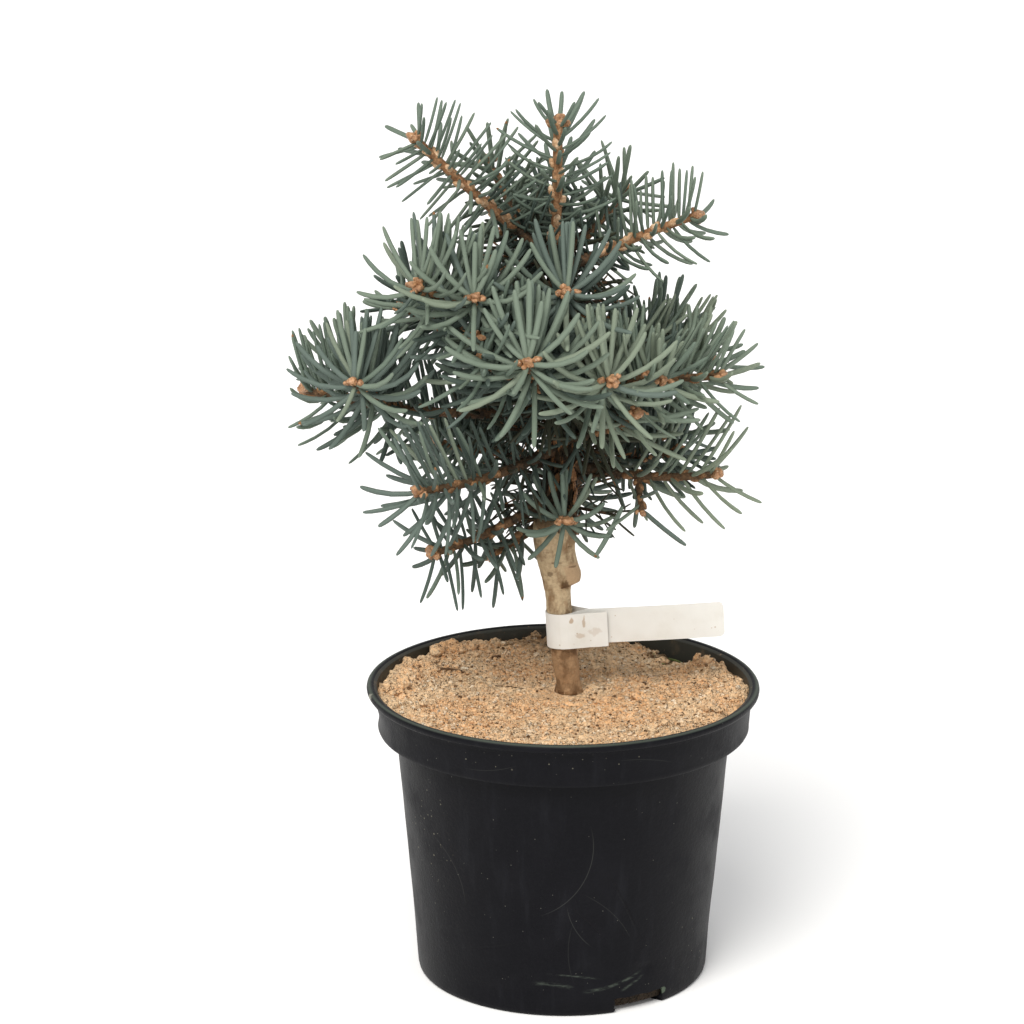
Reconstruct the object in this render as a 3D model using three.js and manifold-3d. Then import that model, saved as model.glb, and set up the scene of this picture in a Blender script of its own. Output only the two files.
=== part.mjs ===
/**
 * A young compacta white fir in a black nursery pot: pot, sandy soil, grafted trunk, loop tag,
 * and one bough and one mass of needles for each shoot of the crown.
 *
 * Millimetres, +Z up. The origin is the centre of the pot's flat underside and -Y is the front.
 * Bearings are degrees seen from above: 0 is +X (right), 90 is the back, -90 is the front.
 */
import * as THREE from 'three';
import { mergeVertices } from 'three/addons/utils/BufferGeometryUtils.js';
import loadManifold from 'manifold-3d';

const manifold = await loadManifold();
manifold.setup();

// Driving sizes

/** Gap left between solids that touch on the real plant. */
const CLEARANCE = 0.3;

const POT = {
  height: 167,
  lipRadius: 110,
  lipHeight: 4.5,
  lipWidth: 4,
  collarTopRadius: 105.5,
  collarRadius: 104,
  collarHeight: 26,
  shoulderRadius: 93.5,
  baseRadius: 81.5,
  wall: 2,
  floor: 3,
  sides: 36,
};

/** Drain recesses in the pot's bottom corner, one towards the front right and one opposite. */
const DRAIN = { bearings: [-59, 121], arc: 22, height: 9, innerRadius: 62, slotWidth: 14, slotHeight: 3 };

/** The soil's top: level round the trunk, lower at the rim, with heaps and mounds between. */
const SOIL = { level: 159.3, rimLevel: 157.5, flatRadius: 20, rings: [98, 90, 80, 69, 57, 45, 33] };

/** Heaps of clods against the rim and one hollow: bearing, distance from the axis and size. */
const HEAPS = [
  { bearing: 177, distance: 98, radius: 17, height: 5.2 },
  { bearing: 157, distance: 91, radius: 14, height: 4.4 },
  { bearing: 133, distance: 89, radius: 14, height: 3.8 },
  { bearing: 103, distance: 87, radius: 18, height: 3.0 },
  { bearing: 72, distance: 84, radius: 15, height: 2.2 },
  { bearing: 47, distance: 97, radius: 15, height: -3.6 },
  { bearing: 26, distance: 91, radius: 14, height: 4.8 },
  { bearing: 2, distance: 97, radius: 16, height: 4.6 },
  { bearing: -24, distance: 88, radius: 17, height: 3.2 },
  { bearing: 204, distance: 86, radius: 20, height: 2.6 },
];

/** Seeded mounds all over the soil. */
const MOUNDS = { count: 26, radius: 15, height: 2.8, deepest: -0.6, nearest: 38, farthest: 92, seed: 41 };

/** The trunk from its flat cut at soil level to its fork: height, lean to the right and radius. */
const TRUNK = {
  stations: [
    { z: SOIL.level + CLEARANCE, x: 3.6, radius: 9.2 },
    { z: 164, x: 3.3, radius: 8.0 },
    { z: 182, x: 0.6, radius: 7.4 },
    { z: 206, x: -2.3, radius: 7.1 },
    { z: 217, x: -3.0, radius: 7.1 },
    { z: 223, x: -3.1, radius: 7.3 },
    { z: 229, x: -3.1, radius: 7.6 },
    { z: 236, x: -3.0, radius: 8.0 },
    { z: 247, x: -2.9, radius: 9.2 },
    { z: 262, x: -2.4, radius: 10.3 },
    { z: 278, x: -1.8, radius: 9.0 },
    { z: 305, x: -1.0, radius: 7.4 },
    { z: 340, x: -1.8, radius: 6.0 },
    { z: 378, x: -3.4, radius: 4.9 },
    { z: 414, x: -4.6, radius: 3.9 },
  ],
  footY: 6,
  forkY: 9,
  sides: 12,
};

/** The swollen graft union on the trunk's right side. */
const GRAFT = { z: 227, halfHeight: 8, bulge: 6, bearing: -12 };

/** The loop tag: its loop opens to the right, where both ends meet in a knot and the tail begins. */
const TAG = {
  width: 20,
  thickness: 0.8,
  z: 187.8,
  tilt: 4,
  tail: 81,
  holeRadius: 8.6,
  bow: 5,
  openHalfAngle: 0.62,
  knotOut: 1.9,
  knotDrop: 1.5,
};

const LIMB = { rootRadius: 3.6, endRadius: 3, sides: 5, steps: 2, sag: 0.1 };

const STEM = { sides: 4, steps: 3, tipRadius: 2.4 };

/** Side twigs: where they leave the stem, how far they turn from it and their share of its length. */
const TWIG = {
  sides: 3,
  steps: 2,
  radius: 1.8,
  first: 0.12,
  last: 0.5,
  spread: 52,
  wobble: 8,
  rise: 10,
  share: 0.42,
  shortest: 0.85,
  longest: 1.1,
  bare: 0.12,
};

/** Needles are broader than life, because each stands for several of the real ones. */
const NEEDLE = {
  length: 50,
  width: 5.2,
  thickness: 1.7,
  spacing: 4.1,
  openAtFoot: 88,
  openAtBud: 76,
  jitter: 6,
  crowding: 0.85,
  firstPlace: 0.03,
  lastPlace: 0.99,
  shortAtFoot: 0.85,
  shortAtBud: 0.68,
  shortBelow: 0.82,
  shortAtTop: 0.82,
  shortest: 0.9,
  longest: 1.06,
  sideways: 0.84,
  widest: 0.46,
  sunk: 0.8,
  clearOfStem: 0.06,
  lift: 0.38,
  forward: 0.1,
};

/** Heights between which the needles shorten towards the crown's top. */
const CROWN_TOP = { from: 410, to: 450 };

/** Distance between the beads that stand for wood and for needles when distances are compared. */
const BEAD_PITCH = { wood: 3, needle: 2.6 };

/** Two pieces whose feet are this much farther apart than both are long can't touch. */
const WIDE_BERTH = 20;

/** Edges shorter than this are drawn together after fusing. */
const FINEST_DETAIL = 0.06;

/** A needle keeps this far from the limbs and needles of every other shoot. */
const SPACE = 0.7;

/** Lengths that are tried for a needle before its place is left empty. */
const NEEDLE_TRIES = [1, 0.86, 0.72];

const GOLDEN_ANGLE = 137.508;

const FIRST_SEED = 11;

/**
 * The crown's shoots from the top whorl down. root: height on the trunk. reach: from the trunk
 * axis to the bud, level. tip: height of the bud. bare: share of the limb that is bough. twigs:
 * side twigs. side: the side of the first twig, 1 for left of the growing direction. spacing:
 * length of stem for each needle, where it isn't the usual one.
 */
const SHOOTS = [
  { name: 'upper_left', root: 405, bearing: 186, reach: 80, tip: 476, bare: 0.28, twigs: 2, side: 1 },
  { name: 'upper_right', root: 398, bearing: -1, reach: 80, tip: 431, bare: 0.3, twigs: 1, side: 1 },
  { name: 'upper_back_left', root: 394, bearing: 124, reach: 68, tip: 450, bare: 0.35, twigs: 2, side: 1 },
  { name: 'upper_back_right', root: 406, bearing: 56, reach: 66, tip: 438, bare: 0.35, twigs: 2, side: -1 },
  { name: 'upper_front', root: 378, bearing: -86, reach: 57, tip: 400, bare: 0.4, twigs: 1, side: 1 },
  { name: 'left_mid', root: 366, bearing: 215, reach: 94, tip: 403, bare: 0.4, twigs: 2, side: -1 },
  { name: 'left_front', root: 350, bearing: 232, reach: 76, tip: 377, bare: 0.45, twigs: 0, side: 1 },
  { name: 'right', root: 350, bearing: -19, reach: 93, tip: 350, bare: 0.4, twigs: 2, side: -1 },
  { name: 'right_back', root: 362, bearing: 17, reach: 88, tip: 366, bare: 0.4, twigs: 1, side: 1 },
  { name: 'back_top', root: 370, bearing: 92, reach: 82, tip: 418, bare: 0.4, twigs: 1, side: 1 },
  { name: 'far_left', root: 322, bearing: 180, reach: 141, tip: 333, bare: 0.4, twigs: 2, side: 1 },
  {
    name: 'centre_front', root: 326, bearing: -100, reach: 92, tip: 370, bare: 0.45, twigs: 1, side: -1,
    spacing: 2.6,
  },
  { name: 'right_centre', root: 334, bearing: -68, reach: 84, tip: 358, bare: 0.4, twigs: 1, side: 1 },
  { name: 'back_left', root: 340, bearing: 143, reach: 104, tip: 374, bare: 0.4, twigs: 2, side: -1 },
  { name: 'back_mid', root: 312, bearing: 98, reach: 98, tip: 350, bare: 0.4, twigs: 2, side: 1 },
  { name: 'back_right', root: 330, bearing: 50, reach: 96, tip: 372, bare: 0.4, twigs: 2, side: -1 },
  { name: 'lower_right', root: 292, bearing: -10, reach: 93, tip: 294, bare: 0.4, twigs: 2, side: -1 },
  { name: 'lower_front_right', root: 306, bearing: -48, reach: 72, tip: 322, bare: 0.45, twigs: 0, side: 1 },
  { name: 'lower_left', root: 302, bearing: 218, reach: 98, tip: 292, bare: 0.4, twigs: 1, side: -1 },
  { name: 'low_left', root: 276, bearing: 207, reach: 78, tip: 250, bare: 0.4, twigs: 1, side: 1 },
  { name: 'hanging', root: 266, bearing: 165, reach: 40, tip: 236, bare: 0.4, twigs: 0, side: 1 },
  { name: 'low_back_left', root: 290, bearing: 136, reach: 92, tip: 298, bare: 0.4, twigs: 2, side: 1 },
  { name: 'low_back_right', root: 280, bearing: 44, reach: 92, tip: 296, bare: 0.4, twigs: 2, side: -1 },
  { name: 'low_back', root: 270, bearing: 86, reach: 66, tip: 262, bare: 0.4, twigs: 0, side: 1 },
  { name: 'low_front', root: 262, bearing: -84, reach: 30, tip: 267, bare: 0, twigs: 0, side: 1 },
];

/** The leader stands on the fork and carries the crown's top. */
const LEADER = { name: 'leader', height: 69, radius: 3.1, spacing: 2.3, openAtBud: 52 };

const COLOUR = {
  pot: 0x1d1d20,
  soil: 0xc89b6c,
  bark: 0x8a7762,
  bough: 0x7a5d43,
  needle: 0x6f8576,
  tag: 0xf2efe6,
};

// Small tools

/** A seeded random source, the same numbers on every run. */
function seededRandom(seed) {
  let state = seed >>> 0;
  return () => {
    state = (state + 0x6d2b79f5) >>> 0;
    let mixed = Math.imul(state ^ (state >>> 15), state | 1);
    mixed ^= mixed + Math.imul(mixed ^ (mixed >>> 7), mixed | 61);
    return ((mixed ^ (mixed >>> 14)) >>> 0) / 4294967296;
  };
}

const radians = THREE.MathUtils.degToRad;
const lerp = THREE.MathUtils.lerp;

/** A level direction with the given bearing. */
function level(bearing) {
  return new THREE.Vector3(Math.cos(radians(bearing)), Math.sin(radians(bearing)), 0);
}

/** The part of a geometry that a solid needs: merged positions and triangles. */
function bareGeometry(geometry) {
  const bare = geometry.clone();
  bare.deleteAttribute('normal');
  bare.deleteAttribute('uv');
  return mergeVertices(bare, 1e-3);
}

/** A closed geometry as a solid that can be joined and cut. */
function solidFrom(geometry) {
  const bare = bareGeometry(geometry);
  return new manifold.Manifold(new manifold.Mesh({
    numProp: 3,
    vertProperties: new Float32Array(bare.attributes.position.array),
    triVerts: new Uint32Array(bare.index.array),
  }));
}

/** A solid back as a geometry. */
function geometryFrom(solid) {
  const mesh = solid.getMesh();
  const geometry = new THREE.BufferGeometry();
  geometry.setAttribute('position', new THREE.BufferAttribute(mesh.vertProperties.slice(), 3));
  geometry.setIndex(new THREE.BufferAttribute(mesh.triVerts.slice(), 1));
  return geometry;
}

/** A named piece of the part with its own material. */
function piece(name, geometry, colour, roughness) {
  const material = new THREE.MeshStandardMaterial({ color: colour, roughness, metalness: 0 });
  const mesh = new THREE.Mesh(geometry, material);
  mesh.name = name;
  return mesh;
}

/** Side and upper directions across a limb that grows along the tangent. */
function across(tangent) {
  const steep = Math.abs(tangent.z) > 0.98;
  const reference = steep ? new THREE.Vector3(0, 1, 0) : new THREE.Vector3(0, 0, 1);
  const side = new THREE.Vector3().crossVectors(tangent, reference).normalize();
  const upper = new THREE.Vector3().crossVectors(side, tangent).normalize();
  return { side, upper };
}

/** A closed round tube that follows a curve from one share of its length to another. */
function taperedTube(curve, from, to, radiusAt, sides, steps) {
  const tube = new THREE.CylinderGeometry(1, 1, 1, sides, steps);
  const position = tube.attributes.position;
  for (let i = 0; i < position.count; i += 1) {
    const share = lerp(from, to, position.getY(i) + 0.5);
    const { side, upper } = across(curve.getTangentAt(share));
    const radius = radiusAt(share);
    const point = curve.getPointAt(share);
    point.addScaledVector(side, position.getX(i) * radius);
    point.addScaledVector(upper, position.getZ(i) * radius);
    position.setXYZ(i, point.x, point.y, point.z);
  }
  return tube;
}

/** Spheres strung along a curve, which stand for it when distances are compared. */
function beadsAlong(curve, from, to, radiusAt, pitch) {
  const count = Math.max(2, Math.ceil((curve.getLength() * (to - from)) / pitch) + 1);
  const beads = [];
  for (let i = 0; i < count; i += 1) {
    const share = lerp(from, to, i / (count - 1));
    beads.push({ point: curve.getPointAt(share), radius: radiusAt(share) });
  }
  return beads;
}

/** Whether two strings of beads stay the given distance apart. */
function areApart(first, second, distance) {
  const firstSpan = first[0].point.distanceTo(first.at(-1).point);
  const secondSpan = second[0].point.distanceTo(second.at(-1).point);
  if (first[0].point.distanceTo(second[0].point) > firstSpan + secondSpan + WIDE_BERTH) {
    return true;
  }
  return first.every((a) => second.every((b) => (
    a.point.distanceTo(b.point) > a.radius + b.radius + distance
  )));
}

// Pot and soil

/** A ring sector that is cut out of, or kept clear of, the pot's bottom corner. */
function drainBlock(bearing, margin) {
  const halfArc = radians(DRAIN.arc / 2) + margin / POT.baseRadius;
  const inner = DRAIN.innerRadius - margin;
  const outer = POT.baseRadius + 10;
  const outline = new THREE.Shape();
  outline.absarc(0, 0, outer, radians(bearing) - halfArc, radians(bearing) + halfArc, false);
  outline.absarc(0, 0, inner, radians(bearing) + halfArc, radians(bearing) - halfArc, true);
  outline.closePath();
  const depth = DRAIN.height + margin + 1;
  const block = new THREE.ExtrudeGeometry(outline, { depth, bevelEnabled: false, curveSegments: 6 });
  block.translate(0, 0, -1);
  return solidFrom(block);
}

/** A slot from the drain recess through the pot's inner corner into the soil. */
function drainSlot(bearing) {
  const slot = new THREE.BoxGeometry(POT.wall * 4, DRAIN.slotWidth, DRAIN.slotHeight);
  slot.translate(DRAIN.innerRadius, 0, POT.floor + DRAIN.slotHeight / 2 + 0.5);
  slot.rotateZ(radians(bearing));
  return solidFrom(slot);
}

/** The hollow of the pot, drawn in by the margin, from the floor's centre to the given top. */
function hollowOutline(margin, top) {
  const step = POT.height - POT.collarHeight + POT.wall;
  const lean = (POT.shoulderRadius - POT.baseRadius) / (POT.height - POT.collarHeight);
  const wallRadius = (z) => POT.baseRadius + lean * z - POT.wall - margin;
  return [
    new THREE.Vector2(0, POT.floor + margin),
    new THREE.Vector2(wallRadius(POT.floor), POT.floor + margin),
    new THREE.Vector2(wallRadius(step), step + margin),
    new THREE.Vector2(POT.collarRadius - POT.wall - margin, step + margin),
    new THREE.Vector2(POT.collarRadius - POT.wall - margin, top),
  ];
}

/** The outline of the pot's body from the underside's centre up to the collar. */
function bodyOutline() {
  return [
    new THREE.Vector2(0, 0),
    new THREE.Vector2(POT.baseRadius - 2, 0),
    new THREE.Vector2(POT.baseRadius, 2),
    new THREE.Vector2(POT.shoulderRadius, POT.height - POT.collarHeight),
  ];
}

/** A solid turned about the upright axis from an outline. */
function turned(outline) {
  return solidFrom(new THREE.LatheGeometry(outline, POT.sides).rotateX(Math.PI / 2));
}

/** The pot: tapered wall, broad collar, rolled lip, flat floor and drain recesses. */
function potGeometry() {
  const shoulder = POT.height - POT.collarHeight;
  const lipFoot = POT.height - POT.lipHeight;
  const collar = [
    new THREE.Vector2(POT.collarRadius - 2, shoulder),
    new THREE.Vector2(POT.collarRadius, shoulder + 3),
    new THREE.Vector2(POT.collarTopRadius, lipFoot),
    new THREE.Vector2(POT.lipRadius - 1, lipFoot),
    new THREE.Vector2(POT.lipRadius, lipFoot + POT.lipHeight / 2),
    new THREE.Vector2(POT.lipRadius - 1, POT.height),
    new THREE.Vector2(POT.lipRadius - POT.lipWidth, POT.height),
  ];
  const whole = turned([...bodyOutline(), ...collar, ...hollowOutline(0, lipFoot).reverse()]);
  const unhollowed = turned([...bodyOutline(), new THREE.Vector2(0, shoulder)]);
  const recessed = DRAIN.bearings.reduce((pot, bearing) => {
    const housing = drainBlock(bearing, POT.wall).intersect(unhollowed);
    return pot.add(housing).subtract(drainBlock(bearing, 0)).subtract(drainSlot(bearing));
  }, whole);
  return geometryFrom(recessed);
}

/** The heaps by the rim, and seeded low mounds and hollows. */
function soilMounds() {
  const heaps = HEAPS.map(({ bearing, distance, radius, height }) => (
    { centre: level(bearing).multiplyScalar(distance), radius, height }
  ));
  const random = seededRandom(MOUNDS.seed);
  const mounds = Array.from({ length: MOUNDS.count }, () => {
    const direction = level(random() * 360);
    return {
      centre: direction.multiplyScalar(lerp(MOUNDS.nearest, MOUNDS.farthest, Math.sqrt(random()))),
      height: lerp(MOUNDS.deepest, 1, random()) * MOUNDS.height,
      radius: lerp(0.6, 1.2, random()) * MOUNDS.radius,
    };
  });
  return [...heaps, ...mounds];
}

/** The sandy soil that fills the pot, with a lumpy top that is flat round the trunk's foot. */
function soilGeometry() {
  const rings = [...SOIL.rings, SOIL.flatRadius, 0];
  const profile = [
    ...hollowOutline(CLEARANCE, SOIL.rimLevel),
    ...rings.map((radius) => new THREE.Vector2(radius, SOIL.level)),
  ];
  const geometry = bareGeometry(new THREE.LatheGeometry(profile, POT.sides).rotateX(Math.PI / 2));
  const mounds = soilMounds();
  const position = geometry.attributes.position;
  for (let i = 0; i < position.count; i += 1) {
    const radius = Math.hypot(position.getX(i), position.getY(i));
    if (position.getZ(i) >= SOIL.rimLevel - 0.01 && radius > SOIL.flatRadius + 1) {
      const rise = mounds.reduce((sum, mound) => {
        const away = Math.hypot(position.getX(i) - mound.centre.x, position.getY(i) - mound.centre.y);
        return sum + mound.height * Math.exp(-((away / mound.radius) ** 2));
      }, 0);
      position.setZ(i, position.getZ(i) + rise);
    }
  }
  const soil = DRAIN.bearings.reduce(
    (rest, bearing) => rest.subtract(drainBlock(bearing, POT.wall + CLEARANCE)),
    solidFrom(geometry),
  );
  return geometryFrom(soil);
}

// Trunk and tag

/** Centre and radius of the trunk at a height. */
function trunkAt(z) {
  const { stations, footY, forkY } = TRUNK;
  const next = Math.max(1, stations.findIndex((station) => station.z >= z));
  const last = z > stations.at(-1).z ? stations.length - 1 : next;
  const below = stations[last - 1];
  const above = stations[last];
  const share = THREE.MathUtils.clamp((z - below.z) / (above.z - below.z), 0, 1);
  const height = (z - stations[0].z) / (stations.at(-1).z - stations[0].z);
  return {
    centre: new THREE.Vector3(lerp(below.x, above.x, share), lerp(footY, forkY, height), z),
    radius: lerp(below.radius, above.radius, share),
  };
}

/** How far the graft union stands out of the trunk at a height and bearing. */
function graftBulge(z, bearing) {
  const height = Math.exp(-(((z - GRAFT.z) / GRAFT.halfHeight) ** 2));
  const facing = Math.max(0, Math.cos(radians(bearing - GRAFT.bearing)));
  return GRAFT.bulge * height * facing ** 2;
}

/** The trunk, one level ring at each station, grown all round by the margin. */
function trunkGeometry(margin) {
  const { stations, sides } = TRUNK;
  const trunk = new THREE.CylinderGeometry(1, 1, 1, sides, stations.length - 1);
  const position = trunk.attributes.position;
  for (let i = 0; i < position.count; i += 1) {
    const station = Math.round((position.getY(i) + 0.5) * (stations.length - 1));
    const { centre, radius } = trunkAt(stations[station].z);
    const outward = Math.hypot(position.getX(i), position.getZ(i));
    const bearing = THREE.MathUtils.radToDeg(Math.atan2(-position.getZ(i), position.getX(i)));
    const rise = station === 0 ? -margin : margin;
    centre.addScaledVector(level(bearing), outward * (radius + graftBulge(centre.z, bearing) + margin));
    position.setXYZ(i, centre.x, centre.y, centre.z + rise);
  }
  return trunk;
}

/** The white tag: a strip looped round the trunk with its tail to the right. */
function tagGeometry() {
  const { holeRadius, thickness, width, bow, openHalfAngle } = TAG;
  const outer = holeRadius + thickness;
  const cosine = Math.cos(openHalfAngle);
  const sine = Math.sin(openHalfAngle);
  const end = outer + TAG.tail;
  const middle = (outer + end) / 2;
  const knot = new THREE.Vector2(cosine * outer * TAG.knotOut, -TAG.knotDrop);
  const under = knot.y - thickness / 2;
  const over = knot.y + thickness / 2;
  const shape = new THREE.Shape();
  shape.moveTo(knot.x, under);
  shape.quadraticCurveTo(middle, under - bow, end, under);
  shape.lineTo(end, over);
  shape.quadraticCurveTo(middle, over - bow, knot.x, over);
  shape.lineTo(cosine * outer, sine * outer);
  shape.absarc(0, 0, outer, openHalfAngle, Math.PI * 2 - openHalfAngle, false);
  shape.lineTo(knot.x, under);
  const hole = new THREE.Path();
  hole.moveTo(knot.x - thickness * 2, knot.y);
  hole.lineTo(cosine * holeRadius, sine * holeRadius);
  hole.absarc(0, 0, holeRadius, openHalfAngle, Math.PI * 2 - openHalfAngle, false);
  hole.lineTo(knot.x - thickness * 2, knot.y);
  shape.holes.push(hole);
  return new THREE.ExtrudeGeometry(shape, { depth: width, bevelEnabled: false, curveSegments: 8 });
}

/** The tag on the trunk, its tail tilted up a little. */
function tagPiece() {
  const tag = piece('plant_tag', tagGeometry(), COLOUR.tag, 0.5);
  const { centre } = trunkAt(TAG.z + TAG.width / 2);
  tag.position.set(centre.x, centre.y, TAG.z);
  tag.rotation.y = -radians(TAG.tilt);
  return tag;
}

// Limbs

/** The curve of a shoot from inside the trunk to its bud, sagging below the straight line. */
function shootCurve(shoot) {
  const root = trunkAt(shoot.root).centre;
  const direction = level(shoot.bearing);
  const bud = root.clone().addScaledVector(direction, shoot.reach).setZ(shoot.tip);
  const knee = root.clone().lerp(bud, 0.5);
  knee.z -= LIMB.sag * shoot.reach;
  return new THREE.QuadraticBezierCurve3(root, knee, bud);
}

/** The leader's curve from the trunk's fork straight up. */
function leaderCurve() {
  const fork = trunkAt(TRUNK.stations.at(-1).z).centre;
  const foot = fork.clone().setZ(fork.z + CLEARANCE);
  const bud = new THREE.Vector3(foot.x + 1, foot.y, foot.z + LEADER.height);
  return new THREE.QuadraticBezierCurve3(foot, foot.clone().lerp(bud, 0.5), bud);
}

/** Radius of a shoot along its curve, from the trunk to the foot of its bud. */
function limbRadius(share) {
  return lerp(LIMB.rootRadius, LIMB.endRadius, Math.min(1, share / 0.5));
}

/** Side twigs that branch from a stem by a seeded rule. */
function twigCurves(stem, from, count, firstSide, random) {
  const twigs = [];
  for (let i = 0; i < count; i += 1) {
    const share = lerp(from, 1, lerp(TWIG.first, TWIG.last, (i + random() * 0.5) / count));
    const twigSide = i % 2 === 0 ? firstSide : -firstSide;
    const turn = twigSide * (TWIG.spread + lerp(-1, 1, random()) * TWIG.wobble);
    const length = stem.getLength() * TWIG.share * lerp(TWIG.shortest, TWIG.longest, random());
    const { side, upper } = across(stem.getTangentAt(share));
    const heading = stem.getTangentAt(share).multiplyScalar(Math.cos(radians(turn)));
    heading.addScaledVector(side, -Math.sin(radians(turn)));
    heading.addScaledVector(upper, Math.sin(radians(TWIG.rise))).normalize();
    const root = stem.getPointAt(share);
    const bud = root.clone().addScaledVector(heading, length);
    const knee = root.clone().lerp(bud, 0.5);
    knee.z -= LIMB.sag * length;
    twigs.push(new THREE.QuadraticBezierCurve3(root, knee, bud));
  }
  return twigs;
}

// Needles

/** Length of a needle against the longest: shorter at both ends, below and in the crown's top. */
function needleShare(along, turn, z) {
  const foot = lerp(NEEDLE.shortAtFoot, 1, Math.min(1, along * 4));
  const bud = lerp(1, NEEDLE.shortAtBud, THREE.MathUtils.smoothstep(along, 0.7, 1));
  const under = lerp(1, NEEDLE.shortBelow, (1 - Math.cos(radians(turn))) / 2);
  const top = lerp(1, NEEDLE.shortAtTop, THREE.MathUtils.smoothstep(z, CROWN_TOP.from, CROWN_TOP.to));
  return foot * bud * under * top;
}

/** The places where needles leave a stem, in a spiral, with the way each one heads and bends. */
function needlePlaces(stem, from, shoot, random) {
  const spacing = shoot.spacing ?? NEEDLE.spacing;
  const openAtBud = shoot.openAtBud ?? NEEDLE.openAtBud;
  const count = Math.round((stem.getLength() * (1 - from)) / spacing);
  return Array.from({ length: count }, (_, i) => {
    const along = (i + 0.5) / count;
    const share = lerp(from, 1, lerp(NEEDLE.firstPlace, NEEDLE.lastPlace, along ** NEEDLE.crowding));
    const tangent = stem.getTangentAt(share);
    const { side, upper } = across(tangent);
    const flatness = Math.hypot(tangent.x, tangent.y);
    const spiral = (((i * GOLDEN_ANGLE) % 360) - 180) * lerp(1, NEEDLE.sideways, flatness);
    const turn = spiral + lerp(-1, 1, random()) * NEEDLE.jitter;
    const open = lerp(NEEDLE.openAtFoot, openAtBud, along ** 2) + lerp(-1, 1, random()) * NEEDLE.jitter;
    const heading = tangent.clone().multiplyScalar(Math.cos(radians(open)));
    heading.addScaledVector(upper, Math.sin(radians(open)) * Math.cos(radians(turn)));
    heading.addScaledVector(side, Math.sin(radians(open)) * Math.sin(radians(turn)));
    const bent = heading.clone().addScaledVector(tangent, NEEDLE.forward);
    bent.z += NEEDLE.lift * flatness;
    const root = stem.getPointAt(share).addScaledVector(heading, -NEEDLE.sunk);
    const variation = lerp(NEEDLE.shortest, NEEDLE.longest, random());
    const length = NEEDLE.length * needleShare(along, turn, root.z) * variation;
    return { root, tangent, heading, bent: bent.normalize(), length };
  });
}

/** A needle's own curve at a share of its full length. */
function needleCurve(place, share) {
  const length = place.length * share;
  const knee = place.root.clone().addScaledVector(place.heading, length * 0.5);
  const tip = knee.clone().addScaledVector(place.bent, length * 0.5);
  return new THREE.QuadraticBezierCurve3(place.root, knee, tip);
}

/** Half the width of a needle at a share of its length: a point at the foot and at the tip. */
function needleHalfWidth(share) {
  const { width, widest } = NEEDLE;
  return (width / 2) * (share < widest ? share / widest : (1 - share) / (1 - widest));
}

/** A needle as a three-sided spindle, bent and broadest at one ring. */
function needleGeometry(curve, tangent) {
  const { widest, thickness } = NEEDLE;
  const along = curve.getTangent(widest);
  const flat = new THREE.Vector3().crossVectors(along, tangent).normalize();
  const thick = new THREE.Vector3().crossVectors(flat, along).normalize();
  const middle = curve.getPoint(widest);
  const half = needleHalfWidth(widest);
  const points = [
    curve.getPoint(0),
    middle.clone().addScaledVector(flat, -half).addScaledVector(thick, -thickness / 3),
    middle.clone().addScaledVector(flat, half).addScaledVector(thick, -thickness / 3),
    middle.clone().addScaledVector(thick, (thickness * 2) / 3),
    curve.getPoint(1),
  ];
  const spindle = new THREE.BufferGeometry().setFromPoints(points);
  spindle.setIndex([0, 1, 2, 0, 2, 3, 0, 3, 1, 4, 2, 1, 4, 3, 2, 4, 1, 3]);
  return spindle;
}

// The crown

/** The stem, twigs and beads of one shoot before any needle grows. */
function plannedShoot(shoot, curve, from, footRadius, seed) {
  const random = seededRandom(seed);
  const radiusAt = (share) => lerp(footRadius, STEM.tipRadius, (share - from) / (1 - from));
  const twigs = twigCurves(curve, from, shoot.twigs ?? 0, shoot.side, random);
  const places = [
    ...needlePlaces(curve, from, shoot, random),
    ...twigs.flatMap((twig) => needlePlaces(twig, TWIG.bare, shoot, random)),
  ];
  const wood = [
    beadsAlong(curve, from, 1, radiusAt, BEAD_PITCH.wood),
    ...twigs.map((twig) => beadsAlong(twig, 0, 1, () => TWIG.radius, BEAD_PITCH.wood)),
  ];
  return { name: shoot.name, curve, from, radiusAt, twigs, places, wood, needles: [] };
}

/** Where a shoot's bough ends and its mass of needles begins. */
function massStart(shoot, curve) {
  return shoot.bare === 0 ? 0 : shoot.bare + CLEARANCE / curve.getLength();
}

/** Every shoot of the crown, the leader first. */
function plannedCrown() {
  const leader = plannedShoot(LEADER, leaderCurve(), 0, LEADER.radius, FIRST_SEED);
  const others = SHOOTS.map((shoot, i) => {
    const curve = shootCurve(shoot);
    return plannedShoot(shoot, curve, massStart(shoot, curve), LIMB.endRadius, FIRST_SEED + 1 + i);
  });
  return [leader, ...others];
}

/** Beads of the trunk and of all boughs, which no needle may touch. */
function limbBeads() {
  const bottom = TRUNK.stations[0].z;
  const top = TRUNK.stations.at(-1).z;
  const trunk = [];
  for (let z = bottom; z <= top; z += BEAD_PITCH.wood) {
    const { centre, radius } = trunkAt(z);
    const bulge = Math.abs(z - GRAFT.z) < GRAFT.halfHeight ? GRAFT.bulge : 0;
    trunk.push({ point: centre, radius: radius + bulge });
  }
  const boughs = SHOOTS.filter((shoot) => shoot.bare > 0).map((shoot) => (
    beadsAlong(shootCurve(shoot), 0, shoot.bare, limbRadius, BEAD_PITCH.wood)
  ));
  return [trunk, ...boughs];
}

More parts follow.
